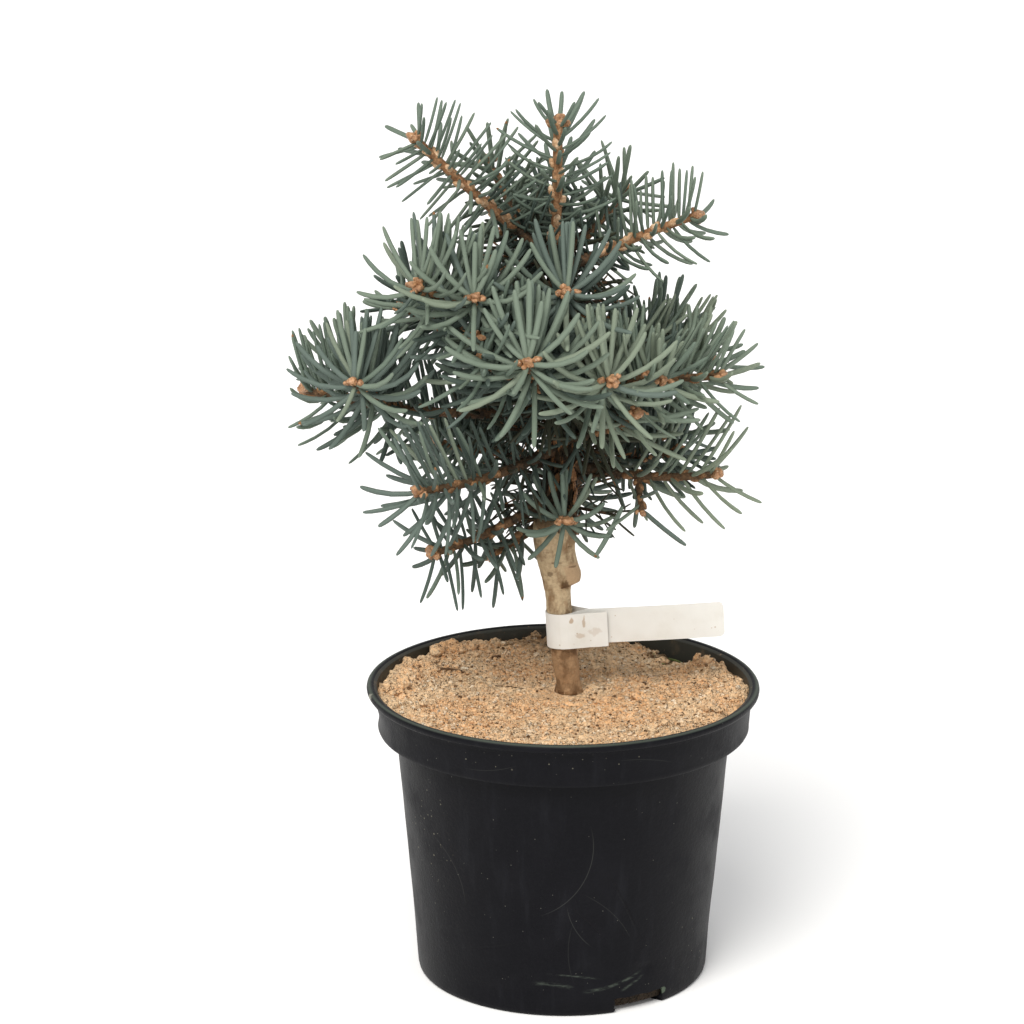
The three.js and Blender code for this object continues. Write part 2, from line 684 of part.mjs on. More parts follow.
/** Grows the needles in turn over all shoots, so that each shoot keeps its share of the room. */
function growNeedles(crown) {
  const limbs = limbBeads();
  const most = Math.max(...crown.map((shoot) => shoot.places.length));
  for (let turn = 0; turn < most; turn += 1) {
    crown.filter((shoot) => turn < shoot.places.length).forEach((shoot) => {
      const place = shoot.places[shoot.places.length - 1 - turn];
      const others = crown.filter((other) => other !== shoot);
      const needles = others.flatMap((other) => other.needles.map((needle) => needle.beads));
      const obstacles = [...limbs, ...others.flatMap((other) => other.wood), ...needles];
      for (const share of NEEDLE_TRIES) {
        const curve = needleCurve(place, share);
        const beads = beadsAlong(curve, NEEDLE.clearOfStem, 1, needleHalfWidth, BEAD_PITCH.needle);
        if (obstacles.every((obstacle) => areApart(beads, obstacle, SPACE))) {
          shoot.needles.push({ curve, tangent: place.tangent, beads });
          break;
        }
      }
    });
  }
}

/** The biggest connected body of a solid, without loose scraps. */
function biggestBody(solid) {
  return solid.decompose().reduce((best, body) => (body.volume() > best.volume() ? body : best));
}

/** One mass: stem, side twigs and needles fused into one solid. */
function massGeometry(shoot, trunkRoom) {
  const stem = taperedTube(shoot.curve, shoot.from, 1, shoot.radiusAt, STEM.sides, STEM.steps);
  const twigs = shoot.twigs.map((twig) => taperedTube(twig, 0, 1, () => TWIG.radius, TWIG.sides, TWIG.steps));
  const needles = shoot.needles.map((needle) => needleGeometry(needle.curve, needle.tangent));
  const fused = [stem, ...twigs, ...needles].map(solidFrom).reduce((whole, solid) => whole.add(solid));
  return geometryFrom(biggestBody(fused.subtract(trunkRoom)).simplify(FINEST_DETAIL));
}

/** One bough, cut to meet the trunk with the usual clearance. */
function boughGeometry(shoot, trunkRoom) {
  const limb = taperedTube(shootCurve(shoot), 0, shoot.bare, limbRadius, LIMB.sides, LIMB.steps);
  return geometryFrom(biggestBody(solidFrom(limb).subtract(trunkRoom)).simplify(FINEST_DETAIL));
}

/** The whole crown as a group of boughs and masses. */
function crownGroup() {
  const group = new THREE.Group();
  const trunkRoom = solidFrom(trunkGeometry(CLEARANCE));
  const crown = plannedCrown();
  growNeedles(crown);
  crown.forEach((shoot) => {
    group.add(piece(`needles_${shoot.name}`, massGeometry(shoot, trunkRoom), COLOUR.needle, 0.6));
  });
  SHOOTS.filter((shoot) => shoot.bare > 0).forEach((shoot) => {
    group.add(piece(`bough_${shoot.name}`, boughGeometry(shoot, trunkRoom), COLOUR.bough, 0.85));
  });
  return group;
}

// The part

const fir = new THREE.Group();
fir.add(piece('pot', potGeometry(), COLOUR.pot, 0.55));
fir.add(piece('soil', soilGeometry(), COLOUR.soil, 0.95));
fir.add(piece('trunk', trunkGeometry(0), COLOUR.bark, 0.85));
fir.add(tagPiece());
fir.add(crownGroup());

export default fir;
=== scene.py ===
"""Potted compacta white fir: the dressed plant, pot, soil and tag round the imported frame.

The crown is grown by a seeded rule from the same shoots as the solids, with all their needles.
Sizes are in millimetres until a mesh is made, and bearings are degrees seen from above: 0 is +X
(right), 90 is the back and -90 is the front.
"""

import logging
import math
from contextlib import contextmanager
from dataclasses import dataclass, field, replace
from enum import Enum
from functools import cache
from typing import Callable, Iterator, Optional, Sequence, Union

import bmesh
import bpy
import numpy as np
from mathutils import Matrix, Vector, noise

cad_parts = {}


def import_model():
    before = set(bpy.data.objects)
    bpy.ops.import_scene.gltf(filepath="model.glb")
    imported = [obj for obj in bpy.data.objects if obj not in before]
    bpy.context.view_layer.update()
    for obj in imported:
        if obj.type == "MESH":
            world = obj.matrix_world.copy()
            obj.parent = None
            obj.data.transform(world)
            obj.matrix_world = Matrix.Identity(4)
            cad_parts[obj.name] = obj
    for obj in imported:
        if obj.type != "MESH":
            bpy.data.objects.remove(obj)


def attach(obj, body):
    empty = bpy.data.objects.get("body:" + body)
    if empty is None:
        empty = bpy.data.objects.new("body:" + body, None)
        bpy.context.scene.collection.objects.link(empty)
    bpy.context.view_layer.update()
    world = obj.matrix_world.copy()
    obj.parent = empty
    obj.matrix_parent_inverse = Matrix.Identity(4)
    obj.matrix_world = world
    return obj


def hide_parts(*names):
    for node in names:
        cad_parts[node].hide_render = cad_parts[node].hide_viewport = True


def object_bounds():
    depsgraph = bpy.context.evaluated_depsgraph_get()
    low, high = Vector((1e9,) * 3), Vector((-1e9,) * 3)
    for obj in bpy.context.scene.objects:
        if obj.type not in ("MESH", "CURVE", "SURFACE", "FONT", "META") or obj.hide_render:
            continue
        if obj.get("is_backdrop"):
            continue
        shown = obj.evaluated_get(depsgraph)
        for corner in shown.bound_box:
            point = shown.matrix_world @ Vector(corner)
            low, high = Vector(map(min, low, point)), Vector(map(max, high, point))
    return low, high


LOG = logging.getLogger("fir")
MM = 0.001
BODY = "root"
GOLDEN_ANGLE = 137.508

Colour = tuple[int, int, int]
Place = tuple[float, float, float]
Outline = Sequence[tuple[float, float]]
Socket = Union[bpy.types.NodeSocket, float, tuple]

EVEN: Place = (1.0, 1.0, 1.0)
ORIGIN: Place = (0.0, 0.0, 0.0)


class Slot(Enum):
    """The record's material slots."""

    POT = "pot_plastic"
    SOIL = "soil"
    TRUNK = "trunk_bark"
    BOUGH = "bough_bark"
    NEEDLES = "needles"
    TAG = "tag_plastic"


class Tone(Enum):
    """The plain colours that needles are dealt, as red, green and blue of 255."""

    SAGE = (109, 122, 107)
    MOSS = (99, 113, 100)
    PALE = (122, 133, 115)
    DEEP = (70, 83, 75)
    SLATE = (90, 103, 95)
    OLD = (54, 56, 42)
    BROWN = (128, 92, 58)


def linear(colour: Colour) -> tuple[float, ...]:
    """Turns a colour of 0 to 255 into the opaque, linear one that shaders use."""
    shares = [value / 255 for value in colour]
    return (*[v / 12.92 if v <= 0.04045 else ((v + 0.055) / 1.055) ** 2.4 for v in shares], 1.0)


def metres(place: Place) -> Place:
    """Turns a place or size in millimetres into metres."""
    return tuple(value * MM for value in place)


def level(bearing: float) -> np.ndarray:
    """Gives the level direction with a bearing."""
    return np.array([math.cos(math.radians(bearing)), math.sin(math.radians(bearing)), 0.0])


def drum(bearing: np.ndarray, radius: Union[float, np.ndarray], height: np.ndarray) -> np.ndarray:
    """Gives the places with the given bearings, radii and heights."""
    turns = np.radians(bearing)
    return np.stack([np.cos(turns) * radius, np.sin(turns) * radius, height], axis=1)


def polar(points: np.ndarray) -> tuple[np.ndarray, np.ndarray]:
    """Gives the bearing and the radius of each point, seen from above."""
    return np.degrees(np.arctan2(points[:, 1], points[:, 0])), np.hypot(points[:, 0], points[:, 1])


def lerp(low: float, high: float, share: float) -> float:
    """Gives the value that lies the given share of the way from low to high."""
    return low + (high - low) * share


def smooth(value: np.ndarray, low: float, high: float) -> np.ndarray:
    """Rises smoothly from 0 at low to 1 at high, for one value or many."""
    share = np.clip((value - low) / (high - low), 0, 1)
    return share * share * (3 - 2 * share)


def hill(away: np.ndarray, width: float, power: int = 2) -> np.ndarray:
    """Gives a round hill of height 1 where nothing is away from it."""
    return np.exp(-((away / width) ** power))


def bump(values: np.ndarray, centre: float, width: float) -> np.ndarray:
    """Gives a round hill at the centre, for angles also across the half turn."""
    away = np.abs(values - centre)
    return hill(np.minimum(away, np.abs(360 - away)), width)


def unit(vector: np.ndarray) -> np.ndarray:
    """Gives the vector, or each row of an array of them, at length 1."""
    return vector / np.maximum(np.linalg.norm(vector, axis=-1, keepdims=True), 1e-9)


class SeededRandom:
    """A seeded random source, the same numbers on every run."""

    MASK = 0xFFFFFFFF

    def __init__(self, seed: int) -> None:
        """Starts the source from a seed."""
        self.state = seed & self.MASK

    def __call__(self) -> float:
        """Gives the next number from 0 to 1."""
        self.state = (self.state + 0x6D2B79F5) & self.MASK
        state = self.state
        mixed = ((state ^ (state >> 15)) * (state | 1)) & self.MASK
        mixed ^= (mixed + (((mixed ^ (mixed >> 7)) * (mixed | 61)) & self.MASK)) & self.MASK
        return ((mixed ^ (mixed >> 14)) & self.MASK) / 4294967296

    def between(self, low: float, high: float) -> float:
        """Gives the next number from low to high."""
        return lerp(low, high, self())


# Shader nodes


class Wiring:
    """A node tree in the making, with a short call for each node."""

    def __init__(self, tree: bpy.types.NodeTree) -> None:
        """Starts on a tree."""
        self.tree = tree

    def add(self, kind: str, inputs: Optional[dict] = None, **settings: object) -> bpy.types.Node:
        """Adds a node.

        Args:
            kind: Blender's name of the shader node, without its prefix.
            inputs: Values or sockets for the node's inputs, by name or number.
            settings: Properties of the node.

        Returns:
            The node.
        """
        node = self.tree.nodes.new(f"ShaderNode{kind}")
        for name, value in settings.items():
            setattr(node, name, value)
        for key, value in (inputs or {}).items():
            self.feed(node.inputs[key], value)
        return node

    def feed(self, socket: bpy.types.NodeSocket, value: Socket) -> None:
        """Sets an input to a value, or links another node's output to it."""
        if isinstance(value, bpy.types.NodeSocket):
            self.tree.links.new(value, socket)
        else:
            socket.default_value = value

    def math(self, operation: str, first: Socket, second: Socket = 0.0) -> bpy.types.NodeSocket:
        """Adds a Math node and gives its output."""
        return self.add("Math", {0: first, 1: second}, operation=operation).outputs[0]

    def times(self, first: Socket, second: Socket) -> bpy.types.NodeSocket:
        """Multiplies two values."""
        return self.math("MULTIPLY", first, second)

    def vector(self, operation: str, first: Socket, second: Socket = ORIGIN) -> bpy.types.NodeSocket:
        """Adds a Vector Math node and gives its vector or, for a length or distance, its value."""
        node = self.add("VectorMath", {0: first, 1: second}, operation=operation)
        return node.outputs[int(operation in ("LENGTH", "DISTANCE"))]

    def place(self) -> bpy.types.NodeSocket:
        """Gives the place on the object, in metres."""
        return self.add("TexCoord").outputs["Object"]

    def apart(self) -> bpy.types.NodeOutputs:
        """Gives the X, Y and Z of the place on the object."""
        return self.add("SeparateXYZ", {0: self.place()}).outputs

    def noise(self, place: Socket, scale: Socket, detail: float, roughness: float = 0.5) -> bpy.types.Node:
        """Adds a Noise Texture node."""
        inputs = {"Vector": place, "Scale": scale, "Detail": detail, "Roughness": roughness}
        return self.add("TexNoise", inputs)

    def mix(self, mask: Socket, first: Socket, second: Socket) -> bpy.types.NodeSocket:
        """Mixes two colours by a mask and gives the colour."""
        inputs = {"Factor": mask, "A": first, "B": second}
        return self.add("Mix", inputs, data_type="RGBA").outputs["Result"]

    def ramp(self, value: Socket, low: Socket, high: Socket) -> bpy.types.NodeSocket:
        """Rises smoothly from 0 at low to 1 at high."""
        inputs = {"Value": value, "From Min": low, "From Max": high}
        return self.add("MapRange", inputs, interpolation_type="SMOOTHSTEP").outputs["Result"]


class Group(Wiring):
    """A node group in the making, with named inputs and one output, Mask."""

    def __init__(self, name: str, **inputs: Union[float, Place]) -> None:
        """Starts a group whose inputs have the given names and values."""
        super().__init__(bpy.data.node_groups.new(name, "ShaderNodeTree"))
        for label, value in inputs.items():
            kind = "NodeSocketVector" if isinstance(value, tuple) else "NodeSocketFloat"
            socket = self.tree.interface.new_socket(label, in_out="INPUT", socket_type=kind)
            socket.default_value = value
        self.tree.interface.new_socket("Mask", in_out="OUTPUT", socket_type="NodeSocketFloat")
        self.given = self.tree.nodes.new("NodeGroupInput")

    def take(self, name: str) -> bpy.types.NodeSocket:
        """Gives what comes in by one input."""
        return self.given.outputs[name]

    def closed(self, mask: bpy.types.NodeSocket) -> bpy.types.NodeTree:
        """Puts out the mask and gives the group."""
        self.feed(self.tree.nodes.new("NodeGroupOutput").inputs["Mask"], mask)
        return self.tree


@cache
def mottle_group() -> bpy.types.NodeTree:
    """Makes soft patches: the noise between two levels."""
    group = Group("mottle", Scale=50.0, Low=0.4, High=0.6, Stretch=EVEN)
    stretched = group.vector("MULTIPLY", group.place(), group.take("Stretch"))
    patches = group.noise(stretched, group.take("Scale"), 5.0, 0.6).outputs["Fac"]
    return group.closed(group.ramp(patches, group.take("Low"), group.take("High")))


@cache
def flecks_group() -> bpy.types.NodeTree:
    """Makes small separate flecks, one in some of the cells of a Voronoi pattern."""
    group = Group("flecks", Scale=300.0, Size=0.3, Amount=0.2)
    cells = group.add("TexVoronoi", {"Vector": group.place(), "Scale": group.take("Scale")})
    chance = group.add("SeparateColor", {"Color": cells.outputs["Color"]}).outputs
    chosen = group.math("LESS_THAN", chance[0], group.take("Amount"))
    reach = group.times(group.take("Size"), chance[1])
    dot = group.ramp(cells.outputs["Distance"], reach, group.times(reach, 0.5))
    return group.closed(group.times(dot, chosen))


@cache
def spot_group() -> bpy.types.NodeTree:
    """Makes one ragged spot at a place on the object."""
    group = Group("spot", Centre=ORIGIN, Size=EVEN, Ragged=0.5, Scale=200.0)
    away = group.vector("SUBTRACT", group.place(), group.take("Centre"))
    distance = group.vector("LENGTH", group.vector("DIVIDE", away, group.take("Size")))
    grain = group.noise(group.place(), group.take("Scale"), 4.0).outputs["Fac"]
    wobble = group.times(group.math("SUBTRACT", grain, 0.5), group.take("Ragged"))
    return group.closed(group.ramp(group.math("ADD", distance, wobble), 1.0, 0.6))


@cache
def arc_group() -> bpy.types.NodeTree:
    """Makes one thin arc: where a sphere meets the surface, near one place."""
    group = Group("arc", Centre=ORIGIN, Radius=0.05, Width=0.0005, Near=ORIGIN, Reach=0.03)
    away = group.vector("DISTANCE", group.place(), group.take("Centre"))
    off = group.math("ABSOLUTE", group.math("SUBTRACT", away, group.take("Radius")))
    near = group.vector("DISTANCE", group.place(), group.take("Near"))
    faded = group.ramp(near, group.take("Reach"), group.times(group.take("Reach"), 0.5))
    return group.closed(group.times(group.ramp(off, group.take("Width"), 0.0), faded))


@cache
def cracks_group() -> bpy.types.NodeTree:
    """Makes cracks between the plates of bark, longer along the stretched way."""
    group = Group("cracks", Scale=150.0, Width=0.08, Stretch=EVEN)
    place = group.vector("MULTIPLY", group.place(), group.take("Stretch"))
    bend = group.noise(place, 260.0, 3.0).outputs["Color"]
    bent = group.vector("ADD", place, group.vector("MULTIPLY", bend, (0.004, 0.004, 0.004)))
    inputs = {"Vector": bent, "Scale": group.take("Scale")}
    plates = group.add("TexVoronoi", inputs, feature="DISTANCE_TO_EDGE")
    return group.closed(group.ramp(plates.outputs["Distance"], group.take("Width"), 0.0))


class Painter(Wiring):
    """A material in the making, with its masks and the colours laid over each other."""

    def __init__(self, name: str) -> None:
        """Starts a material with a Principled BSDF."""
        self.material = bpy.data.materials.new(name)
        self.material.use_nodes = True
        super().__init__(self.material.node_tree)

    def effect(self, group: Callable[[], bpy.types.NodeTree], **inputs: Socket) -> bpy.types.NodeSocket:
        """Places a group with its own values and gives its mask."""
        return self.add("Group", inputs, node_tree=group()).outputs["Mask"]

    def mottle(self, scale: float, low: float, high: float, stretch: Place = EVEN) -> bpy.types.NodeSocket:
        """Gives a mask of soft patches."""
        return self.effect(mottle_group, Scale=scale, Low=low, High=high, Stretch=stretch)

    def flecks(self, scale: float, size: float, amount: float) -> bpy.types.NodeSocket:
        """Gives a mask of small flecks, in an amount of the pattern's cells."""
        return self.effect(flecks_group, Scale=scale, Size=size, Amount=amount)

    def spot(self, centre: Place, size: Place, ragged: float, scale: float) -> bpy.types.NodeSocket:
        """Gives the mask of one ragged spot, its place and size in millimetres."""
        return self.effect(spot_group, Centre=metres(centre), Size=metres(size), Ragged=ragged, Scale=scale)

    def arcs(self, arcs: Sequence[tuple]) -> Socket:
        """Adds up the masks of arcs: centre, radius, width, a place on it, reach and strength."""
        total: Socket = 0.0
        for centre, radius, width, near, reach, strength in arcs:
            sizes = {"Radius": radius * MM, "Width": width * MM, "Reach": reach * MM}
            mask = self.effect(arc_group, Centre=metres(centre), Near=metres(near), **sizes)
            total = self.math("ADD", total, self.times(mask, strength))
        return total

    def layered(self, base: Colour, *layers: tuple) -> bpy.types.NodeSocket:
        """Lays colours over a base, each by its mask and strength, and gives the result."""
        result: Socket = linear(base)
        for mask, strength, colour in layers:
            over = colour if isinstance(colour, bpy.types.NodeSocket) else linear(colour)
            result = self.mix(self.times(mask, strength), result, over)
        return result

    def finish(
        self,
        colour: Socket,
        roughness: Socket,
        heights: Sequence[tuple[Socket, float]] = (),
        coat: float = 0.0,
        specular: float = 0.5,
    ) -> bpy.types.Material:
        """Sets the shader's sockets.

        Args:
            colour: Base colour.
            roughness: Roughness.
            heights: Height maps with the depth of each, in millimetres.
            coat: Weight of a clear coat.
            specular: Level of the reflections.

        Returns:
            The material.
        """
        values = {"Base Color": colour, "Roughness": roughness, "Specular IOR Level": specular}
        values |= {"Coat Weight": coat, "Coat Roughness": 0.25}
        for height, depth in heights:
            below = {"Normal": values["Normal"]} if "Normal" in values else {}
            bump_inputs = {"Height": height, "Strength": 1.0, "Distance": depth * MM, **below}
            values["Normal"] = self.add("Bump", bump_inputs).outputs["Normal"]
        for name, value in values.items():
            self.feed(self.tree.nodes["Principled BSDF"].inputs[name], value)
        return self.material


# Finishes

# Each line on the pot: centre, radius, width, a place on it, reach and strength
SCUFFS = (
    ((-14.5, -82.0, -105.9), 132.0, 0.9, (6.0, -82.0, 24.0), 17.0, 0.55),
    ((-20.5, -82.0, -109.9), 130.0, 1.9, (-6.0, -82.0, 20.0), 13.0, 0.4),
    ((5.2, -78.0, 107.6), 93.0, 1.5, (28.0, -78.0, 18.0), 20.0, 0.6),
    ((-25.5, -75.0, 118.3), 120.0, 1.2, (38.0, -73.0, 16.5), 9.0, 0.5),
)
SCRATCHES = (
    ((-28.7, -87.0, 102.5), 44.3, 0.35, (8.0, -87.0, 84.0), 34.0, 0.5),
    ((40.0, -85.0, 72.0), 39.0, 0.35, (7.0, -85.0, 54.0), 16.0, 0.4),
    ((-20.0, -85.0, 20.0), 62.0, 0.3, (28.0, -84.0, 62.0), 24.0, 0.3),
    ((60.0, -80.0, 40.0), 58.0, 0.3, (2.0, -86.0, 38.0), 20.0, 0.25),
    ((-90.0, -50.0, 60.0), 40.0, 0.4, (-64.0, -58.0, 78.0), 26.0, 0.3),
    ((30.0, -104.0, 60.0), 96.0, 0.3, (44.0, -95.0, 152.0), 18.0, 0.3),
    ((-60.0, -104.0, 230.0), 84.0, 0.3, (-40.0, -96.0, 150.0), 16.0, 0.3),
)
CREASES = (
    ((-241.5, -85.0, -54.9), 300.0, 1.1, (33.0, -84.0, 66.0), 24.0, 0.8),
    ((-200.0, -85.0, -140.0), 290.0, 1.0, (11.0, -86.0, 52.0), 18.0, 0.7),
    ((-90.0, -40.0, 260.0), 230.0, 1.2, (-40.0, -75.0, 60.0), 30.0, 0.5),
)
DUST: Colour = (24, 24, 28)
CHALK: Colour = (150, 148, 136)
DRIED_SAND: Colour = (128, 104, 76)
HOLLOW_BROWN: Colour = (84, 64, 42)
TAG_STAIN: Colour = (164, 132, 96)


def pot_plastic() -> bpy.types.Material:
    """Makes black moulded plastic, dusty and scuffed, with a painted highlight along the top of its lip."""
    paint = Painter("pot_plastic")
    dust = paint.mottle(38, 0.42, 0.78)
    streaks = paint.mottle(120, 0.5, 0.8, (1.0, 1.0, 0.16))
    fine = paint.mottle(520, 0.35, 0.75)
    brushed = paint.mottle(420, 0.36, 0.66, (0.5, 0.5, 1.8))
    grit = paint.flecks(560, 0.42, 0.16)
    creases = paint.arcs(CREASES)
    dusted_places = (
        ((-74, -48, 98), (20, 24, 46)),
        ((72, -38, 28), (22, 26, 28)),
        ((-20, -95, 156), (90, 30, 7)),
    )
    dusted = [paint.times(paint.spot(place, size, 1.4, 70), grit) for place, size in dusted_places]
    x, y, z = paint.apart()
    away = paint.vector("LENGTH", paint.add("CombineXYZ", {0: x, 1: y}).outputs[0])
    # painted highlight: a pale grey-green band along the top of the lip's outer edge
    painted_lip_highlight = paint.times(paint.ramp(z, 165.9 * MM, 167.1 * MM), paint.ramp(away, 106.4 * MM, 108.6 * MM))
    chip = paint.spot((-106, -22, 163.5), (4, 5, 4), 1.4, 330)
    tear = paint.spot((55, -62.5, 7), (2.6, 4, 3), 1.8, 420)
    colour = paint.layered(
        (5, 5, 10),
        (dust, 0.4, DUST),
        (streaks, 0.28, (36, 37, 42)),
        (fine, 0.14, DUST),
        (paint.flecks(620, 0.24, 0.06), 0.3, CHALK),
        *[(mask, 0.55, (124, 120, 104)) for mask in dusted],
        (paint.arcs(SCRATCHES), 0.3, (112, 114, 106)),
        # painted shade: the crease lines are painted darker than the dusty plastic, as shade in their folds
        (creases, 0.5, (8, 8, 10)),
        (paint.times(paint.arcs(SCUFFS), brushed), 0.6, (104, 114, 102)),
        (painted_lip_highlight, 0.62, (92, 100, 90)),
        (chip, 0.8, CHALK),
        (tear, 0.3, (138, 156, 132)),
    )
    roughness = paint.math("ADD", paint.times(dust, 0.18), 0.46)
    return paint.finish(colour, roughness, [(fine, 0.06), (creases, -0.5), (dust, 0.12)], specular=0.12)


def pot_inside() -> bpy.types.Material:
    """Makes the inside of the pot's rim, olive where damp sand has dried on it."""
    paint = Painter("pot_inside")
    dried = paint.mottle(90, 0.5, 0.75)
    specks = paint.flecks(420, 0.4, 0.16)
    colour = paint.layered((44, 44, 36), (dried, 0.3, DRIED_SAND), (specks, 0.7, DRIED_SAND))
    return paint.finish(colour, 0.62, [(specks, 0.15), (dried, 0.1)])


def sand(name: str, tan: Colour, orange: Colour, pale: Colour) -> bpy.types.Material:
    """Makes coarse sand with pale and dark grains, a darker brown hollow, a painted grey shadow behind the
    trunk and painted shade low down.
    """
    paint = Painter(name)
    clumps = paint.mottle(150, 0.42, 0.66)
    grains = paint.flecks(560, 1.1, 1.0)
    light = paint.flecks(820, 0.75, 0.45)
    dark = paint.flecks(700, 0.62, 0.32)
    colour = paint.layered(
        tan,
        (paint.mottle(34, 0.42, 0.58), 1.0, orange),
        (clumps, 0.14, (198, 146, 100)),
        (paint.mottle(900, 0.36, 0.64), 0.26, pale),
        (grains, 0.3, pale),
        (light, 0.75, pale),
        (dark, 0.56, (84, 58, 36)),
        (paint.flecks(380, 0.5, 0.16), 0.5, (150, 110, 74)),
        # darker brown in and beside the hollow
        (paint.spot((67, 72, 154), (19, 15, 12), 1.6, 120), 0.9, HOLLOW_BROWN),
        (paint.spot((58, 84, 156), (14, 9, 9), 1.6, 120), 0.6, HOLLOW_BROWN),
        # painted shadow: a grey-brown patch on the soil behind the trunk
        (paint.spot((-14, 88, 160), (27, 17, 14), 1.5, 90), 0.62, (136, 110, 82)),
        # painted shade: the soil darkens from 140 mm down to near black below 60 mm, where it shows in the
        # drain recesses
        (paint.ramp(paint.apart()["Z"], 140 * MM, 60 * MM), 0.96, (18, 16, 14)),
    )
    heights = [(clumps, 1.1), (grains, 0.9), (light, 0.5), (dark, -0.7)]
    return paint.finish(colour, 0.94, heights, specular=0.2)


def bark() -> bpy.types.Material:
    """Makes bark: smooth tan with stains and faint rings at the foot, dark and flaky higher up."""
    paint = Painter("trunk_bark")
    height = paint.apart()["Z"]
    high = paint.ramp(height, 250 * MM, 268 * MM)
    broad = paint.mottle(105, 0.42, 0.56, (1.0, 1.0, 0.6))
    fine = paint.mottle(620, 0.4, 0.66)
    stains = paint.mottle(170, 0.52, 0.68, (1.0, 1.0, 0.7))
    rings = paint.mottle(230, 0.58, 0.72, (0.3, 0.3, 1.8))
    plates = paint.effect(cracks_group, Scale=210, Width=0.16, Stretch=(1.0, 1.0, 0.45))
    flakes = paint.mottle(300, 0.52, 0.6, (1.0, 1.0, 0.4))
    # Dark marks by the graft knob: scars in the bark, partly painted shade in the dent under the knob and
    # the creases above it
    knots = (
        ((1.4, -1.0, 224.0), (3.4, 4.0, 3.4), 0.8),
        ((6.5, -3.0, 234.0), (5.0, 6.0, 0.8), 0.6),
        ((3.5, -2.4, 245.5), (2.0, 3.0, 0.9), 0.9),
        ((-7.4, 0.6, 229.5), (2.0, 3.0, 2.0), 0.6),
        ((-4.0, -2.0, 236.5), (3.4, 3.0, 1.0), 0.55),
    )
    foot = paint.layered((112, 82, 54), (broad, 1.0, (156, 122, 88)))
    scaly = paint.layered(
        (56, 45, 30), (flakes, 1.0, (138, 96, 60)), (fine, 0.5, (44, 36, 24)), (plates, 0.8, (28, 23, 16))
    )
    colour = paint.layered(
        (148, 124, 94),
        (broad, 1.0, (196, 174, 140)),
        (stains, 0.5, (134, 98, 64)),
        (rings, 0.4, (118, 88, 60)),
        (paint.ramp(height, 206 * MM, 182 * MM), 0.9, foot),
        (fine, 0.25, (122, 96, 68)),
        # painted highlight: a paler tan spot on the top of the graft knob
        (paint.spot((6.5, -2.0, 229.5), (8, 9, 8), 1.4, 220), 0.75, (188, 158, 124)),
        *[(paint.spot(place, size, 1.5, 420), strength, (84, 60, 38)) for place, size, strength in knots],
        (high, 1.0, scaly),
    )
    heights = [(paint.times(plates, high), -0.7), (fine, 0.25), (rings, -0.2), (stains, -0.15)]
    return paint.finish(colour, 0.82, heights, specular=0.25)


def twig(name: str, base: Colour, scale: Colour, light: Colour) -> bpy.types.Material:
    """Makes the bark of young wood, with its scales and lighter patches."""
    paint = Painter(name)
    broad = paint.mottle(210, 0.4, 0.66)
    fine = paint.mottle(800, 0.42, 0.62)
    colour = paint.layered(base, (broad, 1.0, light), (fine, 0.5, scale))
    return paint.finish(colour, 0.7, [(fine, 0.22), (broad, 0.2)], specular=0.35)


def resin() -> bpy.types.Material:
    """Makes buds under a crust of pale orange resin."""
    paint = Painter("resin_buds")
    broad = paint.mottle(420, 0.4, 0.68)
    drops = paint.flecks(620, 0.55, 0.3)
    colour = paint.layered((184, 138, 98), (broad, 1.0, (134, 92, 60)), (drops, 0.7, (222, 192, 160)))
    return paint.finish(colour, 0.42, [(broad, 0.35), (drops, 0.3)], coat=0.15)


def needle_skin(tone: Tone) -> bpy.types.Material:
    """Makes a needle's waxy skin in one plain colour."""
    paint = Painter(f"needle_{tone.name.lower()}")
    bloom = paint.mottle(900, 0.35, 0.7)
    roughness = paint.math("ADD", paint.times(bloom, 0.14), 0.56)
    return paint.finish(linear(tone.value), roughness, [(bloom, 0.05)], specular=0.3)


def tag_plastic() -> bpy.types.Material:
    """Makes white label plastic, stained brown where it was tied."""
    paint = Painter("tag_plastic")
    soft = paint.mottle(45, 0.45, 0.8)
    stains = (
        ((4.5, -3.0, 203.5), (1.2, 9.0, 2.2), 0.7),
        ((11.5, -3.0, 203.0), (1.0, 9.0, 5.0), 0.6),
        ((9.5, -3.0, 194.5), (3.0, 9.0, 1.6), 0.4),
        ((18.0, -3.0, 196.0), (5.0, 9.0, 3.0), 0.25),
    )
    colour = paint.layered(
        (222, 220, 214),
        (soft, 0.5, (204, 199, 187)),
        (paint.flecks(520, 0.36, 0.07), 0.6, TAG_STAIN),
        *[(paint.spot(place, size, 1.8, 420), strength, TAG_STAIN) for place, size, strength in stains],
    )
    return paint.finish(colour, 0.5, [(soft, 0.12)], specular=0.45)


# Modelling tools


def activate(piece: bpy.types.Object) -> None:
    """Makes a piece the only one selected, and the active one."""
    bpy.ops.object.select_all(action="DESELECT")
    piece.select_set(True)
    bpy.context.view_layer.objects.active = piece


def primitive(add: Callable, **settings: object) -> bpy.types.Object:
    """Adds a primitive by its operator and gives it, the only object selected."""
    bpy.ops.object.select_all(action="DESELECT")
    add(**settings)
    return bpy.context.active_object


@contextmanager
def editing(action: str = "SELECT") -> Iterator[None]:
    """Opens the active piece's mesh, with all or none of it selected, and closes it again."""
    bpy.ops.object.mode_set(mode="EDIT")
    bpy.ops.mesh.select_mode(type="EDGE")
    bpy.ops.mesh.select_all(action=action)
    yield
    bpy.ops.object.mode_set(mode="OBJECT")


def apply_modifier(piece: bpy.types.Object, kind: str, **settings: object) -> None:
    """Gives a piece a modifier with settings, and applies it."""
    activate(piece)
    modifier = piece.modifiers.new(kind.lower(), kind)
    for name, value in settings.items():
        setattr(modifier, name, value)
    bpy.ops.object.modifier_apply(modifier=modifier.name)


